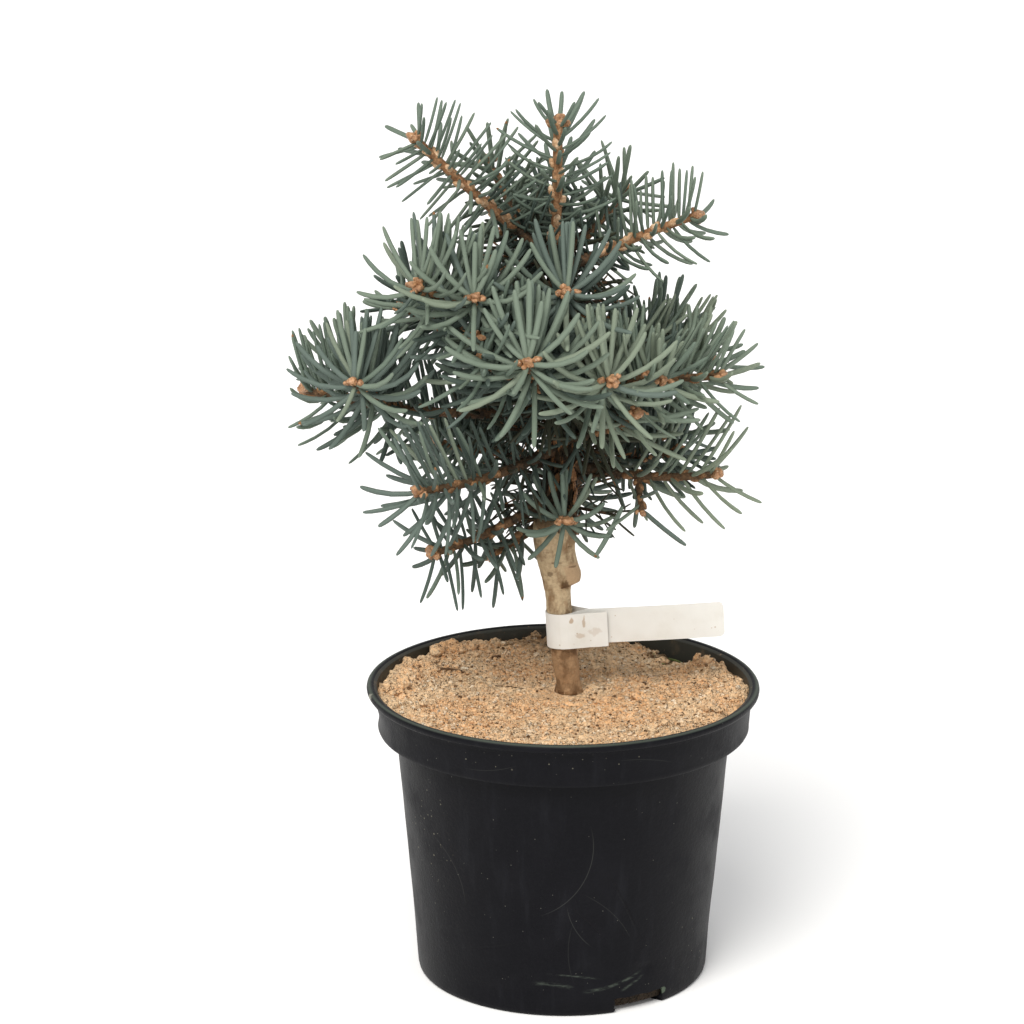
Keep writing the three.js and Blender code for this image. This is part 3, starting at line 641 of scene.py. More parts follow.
def turned(name: str, sides: int, outline: Outline) -> bpy.types.Object:
    """Turns a closed outline about the upright axis by extruding a ring again and again.

    Args:
        name: The piece's name.
        sides: Corners of each ring.
        outline: Radius and height of each ring, from the first face to the last, in millimetres.

    Returns:
        The closed piece, in metres.
    """
    radius, height = outline[0]
    circle = bpy.ops.mesh.primitive_circle_add
    piece = primitive(circle, vertices=sides, radius=radius * MM, fill_type="NGON")
    piece.name = name
    with editing():
        bpy.ops.transform.translate(value=(0, 0, height * MM))
        for next_radius, next_height in outline[1:]:
            rise = (0, 0, (next_height - height) * MM)
            bpy.ops.mesh.extrude_edges_move(TRANSFORM_OT_translate={"value": rise})
            ratio = next_radius / radius
            bpy.ops.transform.resize(value=(ratio, ratio, 1), center_override=(0, 0, next_height * MM))
            radius, height = next_radius, next_height
        bpy.ops.mesh.edge_face_add()
        bpy.ops.mesh.select_all(action="SELECT")
        bpy.ops.mesh.normals_make_consistent(inside=False)
    piece.data.shade_smooth()
    return piece


def points_of(piece: bpy.types.Object) -> np.ndarray:
    """Gives a mesh's points in millimetres."""
    points = np.empty(len(piece.data.vertices) * 3)
    piece.data.vertices.foreach_get("co", points)
    return points.reshape(-1, 3) / MM


def move_points(piece: bpy.types.Object, points: np.ndarray) -> None:
    """Moves a mesh's points to the given places in millimetres."""
    piece.data.vertices.foreach_set("co", (points * MM).ravel())
    piece.data.update()


def rough(points: np.ndarray, size: float, seed: float, octaves: int) -> np.ndarray:
    """Gives smooth noise from about -1 to 1 at each point.

    Args:
        points: Places in millimetres.
        size: Size of the noise's features in millimetres.
        seed: Shifts the noise to another part of itself.
        octaves: How many finer layers it has.

    Returns:
        One value for each point.
    """
    shift = Vector((seed, seed * 1.7, -seed * 0.6))
    places = (Vector(point) / size + shift for point in points.tolist())
    return np.array([noise.fractal(place, 1.0, 2.0, octaves) for place in places])


class Model:
    """A shape that is modelled once, kept as points and triangles, and then copied many times."""

    def __init__(self, piece: bpy.types.Object) -> None:
        """Reads the shape of a modelled piece, in millimetres, and removes the piece."""
        activate(piece)
        with editing():
            bpy.ops.mesh.quads_convert_to_tris()
        self.points = points_of(piece)
        self.faces = np.array([tuple(face.vertices) for face in piece.data.polygons])
        bpy.data.objects.remove(piece)

    @classmethod
    def tube(cls, sides: int, rings: int) -> "Model":
        """Models a plain tube, 1 mm in radius and 1 mm long, with many rings."""
        cylinder = bpy.ops.mesh.primitive_cylinder_add
        piece = primitive(cylinder, vertices=sides, radius=MM, depth=MM, end_fill_type="NGON")
        with editing("DESELECT"):
            body = bmesh.from_edit_mesh(piece.data)
            for edge in body.edges:
                first, second = edge.verts
                edge.select = abs(first.co.z - second.co.z) > MM / 2
            bmesh.update_edit_mesh(piece.data)
            bpy.ops.mesh.subdivide(number_cuts=rings - 1)
            bpy.ops.mesh.select_all(action="SELECT")
            bpy.ops.transform.translate(value=(0, 0, MM / 2))
        return cls(piece)

    @classmethod
    def lump(cls, subdivisions: int, seed: float, roughness: float) -> "Model":
        """Models a rough lump about 1 mm in radius."""
        piece = primitive(bpy.ops.mesh.primitive_ico_sphere_add, subdivisions=subdivisions, radius=MM)
        points = points_of(piece)
        move_points(piece, points * (1 + roughness * rough(points, 1.1, seed, 2))[:, None])
        return cls(piece)


class Copies:
    """Many copies of modelled shapes, joined in one mesh."""

    def __init__(self) -> None:
        """Starts with no copy."""
        self.points: list[np.ndarray] = []
        self.faces: list[np.ndarray] = []
        self.skins: list[np.ndarray] = []
        self.count = 0

    def add(self, model: Model, points: np.ndarray, skin: Union[int, np.ndarray] = 0) -> None:
        """Adds a copy whose points have been moved to their places.

        Args:
            model: The shape that is copied.
            points: The copy's points in millimetres.
            skin: Number of the material, for the copy or for each of its faces.
        """
        self.points.append(points)
        self.faces.append(model.faces + self.count)
        self.skins.append(np.broadcast_to(skin, len(model.faces)))
        self.count += len(points)

    def lay(self, model: Model, shape: np.ndarray, centre: np.ndarray, axes: tuple, skin: int = 0) -> None:
        """Adds a copy with a changed shape, laid along three axes from a centre."""
        x, y, z = axes
        self.add(model, centre + shape[:, 0:1] * x + shape[:, 1:2] * y + shape[:, 2:3] * z, skin)

    def join(self, name: str, slot: Slot, nodes: Sequence[str], *skins: bpy.types.Material) -> None:
        """Joins the copies in one dressed object.

        Args:
            name: The object's name.
            slot: The record's material slot; not used.
            nodes: The nodes that it stands for.
            skins: Its materials, in the order of their numbers.
        """
        mesh = bpy.data.meshes.new(name)
        mesh.from_pydata(np.concatenate(self.points) * MM, [], np.concatenate(self.faces))
        mesh.polygons.foreach_set("material_index", np.concatenate(self.skins).astype(np.int32))
        mesh.shade_smooth()
        made = bpy.data.objects.new(name, mesh)
        bpy.context.scene.collection.objects.link(made)
        for skin in skins:
            mesh.materials.append(skin)
        mesh.update()
        dress(made, nodes)


def dress(piece: bpy.types.Object, nodes: Sequence[str]) -> None:
    """Lets a finished piece ride on the plant and stands it for its nodes."""
    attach(piece, BODY)
    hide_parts(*nodes)
    faces = sum(len(polygon.vertices) - 2 for polygon in piece.data.polygons)
    LOG.info("%s: %d triangles, for %d nodes", piece.name, faces, len(nodes))


# Pot


@dataclass
class Pot:
    """The black nursery pot: tapered wall, broad collar, rolled lip and a worn foot.

    Each crease in the foot has its bearing, height, width, tallness and depth.
    """

    height: float = 167.0
    lip_radius: float = 109.8
    lip_height: float = 4.5
    lip_width: float = 4.2
    collar_top: float = 105.5
    collar: float = 104.0
    collar_height: float = 26.0
    shoulder: float = 93.5
    base: float = 81.5
    wall: float = 2.0
    floor: float = 3.0
    middle: float = 8.0
    sides: int = 216
    drain_bearings: tuple = (-59.0, 121.0)
    drain_arc: float = 22.0
    drain_height: float = 9.0
    drain_inner: float = 62.0
    drain_outer: float = 87.5
    pinch_bearing: float = 180.0
    pinch_height: float = 150.0
    pinch_depth: float = 1.6
    creases: tuple = (
        (-77, 21, 7, 2.6, 1.6), (-96, 17, 8, 2.4, 1.3), (-60, 23, 6, 2.2, 1.4), (-84, 26, 12, 3.2, 0.9),
        (-66, 15, 7, 3.0, 1.0), (-120, 12, 10, 6.0, 0.8),
    )
    crease_tilt: float = 0.28

    def body_radius(self, height: float) -> float:
        """Gives the outer radius of the wall at a height."""
        return lerp(self.base, self.shoulder, height / (self.height - self.collar_height))

    def outside(self) -> list[tuple[float, float]]:
        """Gives the outline from the underside's middle to the lip."""
        ledge, base, collar = self.height - self.collar_height, self.base, self.collar
        foot = [(self.middle, 0.0), (40.0, 0.0), (base - 2.6, 0.0), (base - 1.0, 0.3), (base - 0.2, 1.2)]
        wall = [(self.body_radius(z), z) for z in (3.0, *np.arange(6.0, ledge - 1, 3.0))]
        step = [(self.shoulder, ledge - 0.4), (self.shoulder + 0.6, ledge)]
        step += [(collar - 2.2, ledge), (collar - 0.7, ledge + 0.5), (collar, ledge + 1.8)]
        top = self.height - self.lip_height - 0.8
        shares = np.linspace(0, 1, 8)
        rise = [(lerp(collar, self.collar_top, share), lerp(ledge + 3.4, top, share)) for share in shares]
        return foot + wall + step + rise

    def lip(self) -> list[tuple[float, float]]:
        """Gives the outline of the rolled lip, from under it to its inner edge."""
        half = self.lip_height / 2
        inner = self.lip_radius - self.lip_width
        roll = [
            (self.lip_radius - 1.6 + 1.6 * math.cos(turn), self.height - half + half * math.sin(turn))
            for turn in np.radians(range(-90, 91, 30))
        ]
        under = [(self.collar_top + 0.5, self.height - self.lip_height)]
        return under + roll + [(inner + 1.0, self.height), (inner + 0.2, self.height - 0.5)]

    def inside(self) -> list[tuple[float, float]]:
        """Gives the outline of the hollow, from the lip down to the floor."""
        step, collar = self.height - self.collar_height + self.wall, self.collar - self.wall
        shares = np.linspace(0, 1, 7)
        top = [(lerp(collar + 2.2, collar, share), lerp(self.height - 1.6, step, share)) for share in shares]
        upper, lower = (self.body_radius(height) - self.wall for height in (step, self.floor))
        return top + [(upper, step - 0.2), (lower, self.floor), (self.middle, self.floor)]

    def worn(self, points: np.ndarray) -> np.ndarray:
        """Moves the pot's points a little inwards where it is pinched, dented or creased."""
        bearing, radius = polar(points)
        height = points[:, 2]
        dents = np.minimum(0.5 * (rough(drum(bearing, 60, height), 46.0, 3.0, 2) - 0.6), 0.0)
        pinched = bump(bearing, self.pinch_bearing, 16) * bump(height, self.pinch_height, 6)
        inwards = dents * smooth(height, 4, 30) - self.pinch_depth * pinched
        for place, top, wide, high, depth in self.creases:
            risen = height - (bearing - place) * self.crease_tilt
            inwards -= depth * bump(bearing, place, wide) * bump(risen, top, high)
        factor = np.where(radius > 60, (radius + inwards) / np.maximum(radius, 1e-6), 1.0)
        return points * np.stack([factor, factor, np.ones_like(factor)], axis=1)

    def cut_drain(self, pot: bpy.types.Object, bearing: float, seed: float) -> None:
        """Cuts one ragged drain recess in the pot's bottom corner."""
        cutter = primitive(bpy.ops.mesh.primitive_cube_add, size=1)
        with editing():
            bpy.ops.mesh.subdivide(number_cuts=9)
        cube = points_of(cutter) * MM
        ragged = rough(cube * 10, 2.4, seed, 3)
        radius = lerp(self.drain_inner, self.drain_outer, cube[:, 0] + 0.5)
        top = (cube[:, 2] + 0.5) * (self.drain_height + 1) - 1 + ragged * 0.7 * (cube[:, 2] > 0)
        move_points(cutter, drum(bearing + cube[:, 1] * self.drain_arc + ragged * 0.9, radius, top))
        with editing():
            bpy.ops.mesh.normals_make_consistent(inside=False)
        apply_modifier(pot, "BOOLEAN", operation="DIFFERENCE", solver="EXACT", object=cutter)
        bpy.data.objects.remove(cutter)

    def build(self) -> None:
        """Models the pot, dresses it and stands it for its node."""
        pot = turned("nursery_pot", self.sides, self.outside() + self.lip() + self.inside())
        move_points(pot, self.worn(points_of(pot)))
        for number, bearing in enumerate(self.drain_bearings):
            self.cut_drain(pot, bearing, 5.0 + number)
        pot.data.materials.append(pot_plastic())
        pot.data.materials.append(pot_inside())
        for face in pot.data.polygons:
            centre = face.center / MM
            inner = math.hypot(centre.x, centre.y) < self.lip_radius - self.lip_width
            facing_in = centre.xy.dot(face.normal.xy) < 0
            face.material_index = int(inner and facing_in and centre.z > self.drain_height + 2)
        pot.data.shade_smooth()
        activate(pot)
        bpy.ops.object.shade_smooth_by_angle(angle=math.radians(40))
        dress(pot, ["pot"])


# Soil


@dataclass
class Soil:
    """The sandy soil with its clods at the rim, loose crumbs and scraps of wood.

    Each heap has its bearing, distance from the middle, radius and height.
    """

    level: float = 159.3
    rim_level: float = 157.5
    rim_radius: float = 101.5
    bottom: float = 3.4
    bottom_radius: float = 79.0
    step_height: float = 143.4
    step_radius: float = 91.3
    sides: int = 260
    ring_pitch: float = 1.1
    trunk_clear: float = 12.0
    heaps: tuple = (
        (177, 98, 17, 5.2), (157, 91, 14, 4.4), (133, 89, 14, 3.8), (103, 87, 18, 3.0), (72, 84, 15, 2.2),
        (47, 97, 15, -3.6), (26, 91, 14, 4.8), (2, 97, 16, 4.6), (-24, 88, 17, 3.2), (204, 86, 20, 2.6),
    )
    mound_count: int = 26
    mound_radius: float = 15.0
    mound_height: float = 2.8
    mound_deepest: float = -0.6
    mound_nearest: float = 38.0
    mound_farthest: float = 92.0
    mound_seed: int = 41
    crumbs: int = 8200
    crumb_seed: int = 77
    clods: int = 250
    clod_seed: int = 59
    large_clods: int = 44
    loose_clods: int = 90
    hollow: tuple = (67.0, 72.0)

    def mounds(self) -> list[tuple[np.ndarray, float, float]]:
        """Gives the heaps by the rim and the seeded mounds: centre, radius and height."""
        placed = [(level(bearing) * away, radius, high) for bearing, away, radius, high in self.heaps]
        random = SeededRandom(self.mound_seed)
        for _ in range(self.mound_count):
            direction = level(random() * 360)
            centre = direction * lerp(self.mound_nearest, self.mound_farthest, math.sqrt(random()))
            height = lerp(self.mound_deepest, 1, random()) * self.mound_height
            placed.append((centre, lerp(0.6, 1.2, random()) * self.mound_radius, height))
        return placed

    def outline(self) -> list[tuple[float, float]]:
        """Gives the outline from the underside to the middle of the top."""
        sides = [
            (8.0, self.bottom),
            (self.bottom_radius, self.bottom),
            (self.step_radius, self.step_height - 0.4),
            (self.rim_radius, self.step_height),
            (self.rim_radius, self.rim_level),
        ]
        rings = (*np.arange(self.rim_radius - 0.7, 3.0, -self.ring_pitch), 1.5)
        return sides + [(radius, self.rim_level) for radius in rings]

    def top(self, points: np.ndarray) -> np.ndarray:
        """Gives the height of the soil's top at places seen from above."""
        flat = points * np.array([1.0, 1.0, 0.0])
        bearings, radius = polar(flat)
        height = lerp(self.rim_level, self.level, smooth(-radius, -101.7, -96))
        clear = smooth(radius, 20, 26)
        for centre, reach, rise in self.mounds():
            height += clear * rise * hill(np.linalg.norm(flat - centre, axis=1), reach)
        rim = smooth(radius, 66, 96)
        rugged = rim * np.minimum(1, bump(bearings, 136, 34) + bump(bearings, 6, 36))
        height += 2.4 * rim * bump(bearings, 132, 18)
        lumps = np.maximum(rough(flat, 8.0, 4.0, 3), -0.4) * (1.0 + 2.0 * rim + 1.2 * rugged)
        small = np.maximum(rough(flat, 3.6, 14.0, 2), -0.4) * (0.9 + 0.9 * rim)
        grain = 0.55 * rough(flat, 1.8, 8.0, 1)
        pit = -2.6 * hill(np.hypot(flat[:, 0] - self.hollow[0], flat[:, 1] - self.hollow[1]), 12)
        foot = 1.1 * hill(radius - 14, 5) * (0.4 + rough(flat, 7.0, 30.0, 2))
        relief = smooth(radius, self.trunk_clear, self.trunk_clear + 8) * (lumps + small + grain)
        return height + relief + pit + foot

    def strew(
        self,
        strewn: Copies,
        models: Sequence[Model],
        place: np.ndarray,
        size: float,
        skin: int,
        random: SeededRandom,
    ) -> None:
        """Lays one lump, squeezed and turned at random, half sunk at a place."""
        model = models[int(random() * len(models))]
        squeeze = np.array([random.between(0.8, 1.4), random.between(0.7, 1.2), random.between(0.55, 0.95)])
        turn = random() * math.tau
        cosine, sine = math.cos(turn), math.sin(turn)
        spin = np.array([[cosine, -sine, 0], [sine, cosine, 0], [0, 0, 1]])
        centre = place + np.array([0.0, 0.0, size * random.between(-0.1, 0.35)])
        strewn.add(model, (model.points * squeeze) @ spin.T * size + centre, skin)

    def build_crumbs(self, grains: bpy.types.Material) -> None:
        """Strews grains, small dark crumbs and a few green scraps over the top, more at the rim."""
        random = SeededRandom(self.crumb_seed)
        lumps = [Model.lump(1, seed, 0.55) for seed in (1.0, 2.0, 3.0, 4.0)]
        near, far = self.trunk_clear - 2, self.rim_radius - 1.2
        spots = [level(random() * 360) * lerp(near, far, random() ** 0.52) for _ in range(self.crumbs)]
        places = np.array(spots)
        places[:, 2] = self.top(places)
        strewn = Copies()
        for place in places:
            near_hollow = math.hypot(place[0] - self.hollow[0], place[1] - self.hollow[1]) < 17
            chance = random()
            size = 0.34 + 1.25 * random() ** 3.4
            dark = chance > (0.35 if near_hollow else 0.9)
            skin = 3 if near_hollow and chance < 0.12 else 1 if dark else 2 if chance < 0.3 else 0
            self.strew(strewn, lumps, place, min(size, 0.95) if dark else size, skin, random)
        dark = sand("dark_crumbs", (112, 84, 58), (86, 62, 42), (140, 110, 80))
        pale = sand("pale_grains", (236, 212, 180), (222, 186, 146), (248, 234, 212))
        green = twig("green_scraps", (96, 108, 58), (66, 78, 42), (136, 144, 88))
        strewn.join("soil_crumbs", Slot.SOIL, ["soil"], grains, dark, pale, green)

    def build_clods(self, grains: bpy.types.Material) -> None:
        """Lays clods against the rim, most of them on the heaps at the left and right."""
        random = SeededRandom(self.clod_seed)
        lumps = [Model.lump(3, seed, 0.72) for seed in (21.0, 22.0, 23.0)]
        strewn = Copies()
        heaps = [heap for heap in self.heaps if heap[3] > 0]
        for number in range(self.clods):
            bearing, away, radius, _ = heaps[number % len(heaps)]
            large = number < self.large_clods
            if large:
                bearing, away, radius = random.between(114, 182), random.between(86, 98), 4.0
            elif number >= self.clods - self.loose_clods:
                bearing, away = random.between(-60, 240), random.between(24, 90)
            aside = level(random() * 360) * radius * 0.9 * random()
            place = level(bearing) * away + aside
            place *= min(1.0, (self.rim_radius - 3.0) / float(np.linalg.norm(place)))
            place[2] = self.top(place[None, :])[0]
            least, most = (2.0, 5.4) if large else (1.1, 3.8)
            self.strew(strewn, lumps, place, lerp(least, most, random() ** 1.8), 0, random)
        strewn.join("soil_clods", Slot.SOIL, ["soil"], grains)

    def build_scraps(self) -> None:
        """Lays a few thin twigs, fallen needles and one pale chip on the soil."""
        tube = Model.tube(6, 8)
        scraps = Copies()
        for start, end, radius, skin in (
            ((-72.0, 36.0), (-57.0, 41.0), 0.7, 0),
            ((-57.5, 43.0), (-53.5, 45.0), 1.0, 1),
            ((-38.0, 15.0), (-22.0, 9.0), 0.35, 0),
            ((62.0, 78.0), (70.0, 75.0), 0.7, 2),
            ((59.0, 71.0), (65.0, 66.0), 0.6, 2),
            ((-40.0, 62.0), (-35.0, 66.0), 0.8, 0),
        ):
            ends = np.array([[*start, 0.0], [*end, 0.0]])
            ends[:, 2] = self.top(ends) + radius * 0.8
            limb = Limb(ends[0], ends.mean(axis=0) + np.array([0.6, 0.8, 0.5]), ends[1])
            scraps.add(tube, limb.wrapped(tube, 0, 1, radius * 1.05, radius * 0.75), skin)
        brown = twig("scrap_brown", (96, 70, 46), (64, 46, 30), (132, 100, 66))
        pale = twig("scrap_pale", (226, 208, 180), (196, 172, 140), (240, 228, 206))
        green = twig("scrap_green", (96, 108, 58), (66, 78, 42), (136, 144, 88))
        scraps.join("soil_scraps", Slot.SOIL, ["soil"], brown, pale, green)

    def build(self) -> None:
        """Models the soil and its crumbs and stands them for their node."""
        soil = turned("sandy_soil", self.sides, self.outline())
        points = points_of(soil)
        upper = points[:, 2] > self.rim_level - 1
        points[upper, 2] = self.top(points)[upper]
        radius = np.maximum(np.hypot(points[:, 0], points[:, 1]), 1.0)
        spread = np.clip(1.7 + 0.1 * (points[:, 2] - self.rim_level), 1.0, 2.5) * smooth(radius, 94, 101.5)
        points[:, :2] *= (1 + spread * upper / radius)[:, None]
        move_points(soil, points)
        grains = sand("sandy_soil", (226, 190, 148), (224, 174, 124), (228, 204, 172))
        soil.data.materials.append(grains)
        dress(soil, ["soil"])
        self.build_crumbs(grains)
        self.build_clods(grains)
        self.build_scraps()


# Limbs


class Limb:
    """A quadratic curve that is read by shares of its own length."""

    STEPS = 64

    def __init__(self, start: np.ndarray, knee: np.ndarray, end: np.ndarray) -> None:
        """Keeps the three points and measures the curve."""
        self.start, self.knee, self.end = (np.asarray(point, float) for point in (start, knee, end))
        self.parameters = np.linspace(0, 1, self.STEPS + 1)
        spans = np.linalg.norm(np.diff(self._at(self.parameters), axis=0), axis=1)
        self.lengths = np.concatenate([[0.0], np.cumsum(spans)])
        self.length = float(self.lengths[-1])

    @classmethod
    def sagging(cls, start: np.ndarray, end: np.ndarray, sag: float) -> "Limb":
        """Makes a curve whose middle is pulled down by the given length."""
        return cls(start, (start + end) / 2 - np.array([0.0, 0.0, sag]), end)

    def _at(self, parameter: np.ndarray) -> np.ndarray:
        """Gives the points at the curve's own parameters."""
        t = parameter[:, None]
        return (1 - t) ** 2 * self.start + 2 * t * (1 - t) * self.knee + t * t * self.end

    def _parameter(self, shares: np.ndarray) -> np.ndarray:
        """Turns shares of the length into the curve's own parameters."""
        return np.interp(np.clip(np.atleast_1d(shares), 0, 1) * self.length, self.lengths, self.parameters)

    def points(self, shares: np.ndarray) -> np.ndarray:
        """Gives the points at shares of the length."""
        return self._at(self._parameter(shares))

    def tangents(self, shares: np.ndarray) -> np.ndarray:
        """Gives the directions of growth at shares of the length."""
        t = self._parameter(shares)[:, None]
        return unit((1 - t) * (self.knee - self.start) + t * (self.end - self.knee))

    def frame(self, share: float) -> tuple[np.ndarray, np.ndarray, np.ndarray, np.ndarray]:
        """Gives the point at a share of the length, and the tangent, side and upper directions."""
        tangents = self.tangents(share)
        side, upper = across(tangents)
        return self.points(share)[0], tangents[0], side[0], upper[0]

    def wrapped(self, tube: Model, start: float, end: float, foot: float, tip: float) -> np.ndarray:
        """Wraps a plain tube round the limb.

        Args:
            tube: The tube's model.
            start: Share of the limb where the tube begins.
            end: Share of the limb where it ends.
            foot: Radius in millimetres where it begins.
            tip: Radius where it ends.

        Returns:
            The tube's points.
        """
        x, y, shares = tube.points.T
        along = lerp(start, end, shares)
        side, upper = across(self.tangents(along))
        turns = np.arctan2(y, x)
        radii = lerp(foot, tip, shares) * np.hypot(x, y)
        sideways, upwards = np.cos(turns) * radii, np.sin(turns) * radii
        return self.points(along) + side * sideways[:, None] + upper * upwards[:, None]


def across(tangents: np.ndarray) -> tuple[np.ndarray, np.ndarray]:
    """Gives the side and upper directions across limbs that grow along the tangents."""
    steep = np.abs(tangents[:, 2:3]) > 0.98
    reference = np.where(steep, np.array([[0.0, 1.0, 0.0]]), np.array([[0.0, 0.0, 1.0]]))
    side = unit(np.cross(tangents, reference))
    return side, unit(np.cross(side, tangents))


@dataclass
class Trunk:
    """The trunk from its flat cut at soil level to its fork.

    Each station has a height, how far the trunk leans sideways there and its radius. Each knot has
    its bearing, height, width, tallness and how far it stands out.
    """

    stations: tuple = (
        (159.6, 3.6, 9.2), (164.0, 3.3, 8.0), (182.0, 0.6, 7.4), (206.0, -2.3, 7.1), (217.0, -3.0, 7.1),
        (223.0, -3.1, 7.3), (229.0, -3.1, 7.6), (236.0, -3.0, 8.0), (247.0, -2.9, 9.2), (262.0, -2.4, 10.3),
        (278.0, -1.8, 9.0), (305.0, -1.0, 7.4), (340.0, -1.8, 6.0), (378.0, -3.4, 4.9), (414.0, -4.6, 3.9),
    )
    foot_y: float = 6.0
    fork_y: float = 9.0
    graft_height: float = 227.0
    graft_half: float = 8.0
    graft_bulge: float = 6.0
    graft_bearing: float = -12.0
    sides: int = 96
    rings: int = 300
    flakes: int = 240
    flake_seed: int = 88
    knob_bearing: float = -52.0
    knob_height: float = 224.5
    knob: float = 2.6
    knots: tuple = (
        (-150, 236, 22, 4.5, 1.0), (-60, 214, 14, 3.0, -0.5), (-74, 240, 16, 2.4, -0.7),
        (-100, 252, 18, 4.0, 1.3), (-30, 249, 16, 4.0, 1.2), (-60, 244, 12, 1.0, -1.2),
        (-66, 220.5, 14, 1.5, -1.6), (-120, 229, 12, 2.0, -0.7), (-20, 232, 30, 0.9, -0.8),
    )

    def centre(self, height: np.ndarray) -> np.ndarray:
        """Gives the trunk's centre at one height or many."""
        heights, leans, _ = zip(*self.stations)
        share = (height - heights[0]) / (heights[-1] - heights[0])
        sideways = np.interp(height, heights, leans)
        return np.stack([sideways, lerp(self.foot_y, self.fork_y, share), height], axis=-1)

    def radius(self, height: np.ndarray) -> np.ndarray:
        """Gives the trunk's plain radius at one height or many."""
        heights, _, radii = zip(*self.stations)
        return np.interp(height, heights, radii)

    def bulge(self, height: np.ndarray, bearing: np.ndarray) -> np.ndarray:
        """Gives how far the graft union stands out: undercut below, sloping above."""
        rise = height - self.graft_height
        union = np.where(rise < 0, hill(rise, 3.4, 4), hill(rise, 11.5))
        facing = np.maximum(0, np.cos(np.radians(bearing - self.graft_bearing)))
        knob = self.knob * bump(bearing, self.knob_bearing, 26) * hill(height - self.knob_height, 4.0)
        return self.graft_bulge * 0.94 * union * facing**2 + knob

    def relief(self, height: np.ndarray, bearing: np.ndarray) -> np.ndarray:
        """Gives the bark's relief: faint rings low down, lifted flakes and scars higher up."""
        skin = drum(bearing, 8, height * 0.55)
        flaky = smooth(height, 248, 268)
        soft = 0.3 * rough(skin, 7.0, 2.0, 3)
        plates = np.abs(rough(skin, 3.0, 6.0, 2))
        flakes = flaky * (1.7 * np.maximum(rough(skin, 3.6, 9.0, 3), -0.2) - 1.1 * hill(plates, 0.12))
        rings = (1 - flaky) * 0.2 * rough(skin * np.array([1.0, 1.0, 3.4]), 5.0, 11.0, 2)
        knots = sum(
            high * bump(bearing, place, wide) * hill(height - top, tall)
            for place, top, wide, tall, high in self.knots
        )
        foot = (0.9 * rough(skin, 5.0, 21.0, 2) - 1.3) * smooth(-height, -178, -162)
        fork = 4.4 * smooth(height, 212, 246) * smooth(-height, -288, -262) * bump(bearing, 180, 66)
        return soft + flakes + rings + knots + foot + fork

    def build_flakes(self) -> None:
        """Lifts scales of bark off the upper trunk, in two browns."""
        random = SeededRandom(self.flake_seed)
        scale = Model.lump(2, 31.0, 0.3)
        flakes = Copies()
        for _ in range(self.flakes):
            height = lerp(254, 404, random() ** 1.5)
            out = level(random() * 360)
            along = np.array([random.between(-0.35, 0.35), random.between(-0.2, 0.2), 1.0])
            along = unit(along + out * random.between(-0.3, 0.5))
            aside = unit(np.cross(along, out))
            size = random.between(0.6, 1.25) * lerp(1.0, 0.7, smooth(height, 300, 400))
            place = self.centre(height) + out * float(self.radius(height) + random.between(0.1, 0.7))
            shape = scale.points * np.array([1.5, 0.42, random.between(2.6, 5.0)]) * size
            flakes.lay(scale, shape, place, (aside, np.cross(aside, along), along), int(random() > 0.36))
        orange = twig("bark_flakes", (150, 104, 66), (96, 66, 40), (184, 136, 94))
        brown = twig("bark_flakes_brown", (74, 56, 38), (46, 36, 24), (102, 78, 52))
        flakes.join("bark_flakes", Slot.TRUNK, ["trunk"], orange, brown)

    def build(self) -> None:
        """Models the trunk with its bark's relief and stands it for its node."""
        tube = Model.tube(self.sides, self.rings)
        height = lerp(self.stations[0][0], self.stations[-1][0], tube.points[:, 2])
        bearing, out = polar(tube.points)
        radii = out * (self.radius(height) + self.bulge(height, bearing) + self.relief(height, bearing))
        trunk = Copies()
        trunk.add(tube, self.centre(height) + drum(bearing, radii, height * 0))
        trunk.join("trunk_bark", Slot.TRUNK, ["trunk"], bark())
        self.build_flakes()


# Crown


@dataclass(frozen=True)
class Habit:
    """How the needles of a shoot are spaced, stand and bend.

    upward is the share by which they crowd to the upper side, droop is how far level ones leave
    the stem downwards before they rise, above is the share of their length that upper ones keep,
    and painted_shade is the share near the stem's foot given the dark tone, as painted shade inside the
    crown.
    """

    needle: float = 50
    width: float = 3.1
    pitch: float = 0.95
    crowding: float = 0.62
    open_foot: float = 84
    open_bud: float = 74
    lift: float = 1.3
    droop: float = 0.34
    forward: float = 0.12
    forward_below: float = 0.2
    upward: float = 0.68
    above: float = 0.84
    painted_shade: float = 0.8
    tones: tuple = (Tone.SAGE, Tone.SAGE, Tone.MOSS, Tone.PALE, Tone.SLATE)


FRONT = Habit()
CENTRE = Habit(needle=53, width=3.3, crowding=0.5)
SIDE = Habit(
    needle=47, crowding=0.8, pitch=1.2, open_foot=74, open_bud=56, lift=1.0, forward=0.25,
    tones=(Tone.SAGE, Tone.MOSS, Tone.MOSS, Tone.SLATE),
)
BACK = Habit(
    needle=39, crowding=0.85, pitch=1.15, open_foot=78, open_bud=56, lift=0.5, upward=0.3, above=0.95,
    painted_shade=0.4, tones=(Tone.MOSS, Tone.SLATE, Tone.DEEP, Tone.SAGE),
)
LEANING = Habit(
    needle=41, crowding=0.85, pitch=1.5, open_foot=64, open_bud=50, lift=0.7, droop=0.2, forward=0.3,
    upward=0.45, painted_shade=0.4, tones=(Tone.SAGE, Tone.PALE, Tone.MOSS),
)
SPARSE = Habit(
    needle=44, crowding=0.95, pitch=2.3, open_foot=64, open_bud=50, lift=0.5, forward=0.15, upward=0.35,
    above=1.0, painted_shade=0.0, tones=(Tone.PALE, Tone.SAGE, Tone.PALE),
)
BARE = Habit(needle=38, pitch=5, open_foot=66, open_bud=44, lift=0.3, painted_shade=0.0)
TRAILING = Habit(
    needle=46, pitch=1.2, crowding=0.8, open_foot=70, open_bud=52, lift=0.7, forward=0.3, upward=0.3,
    above=0.95,
)
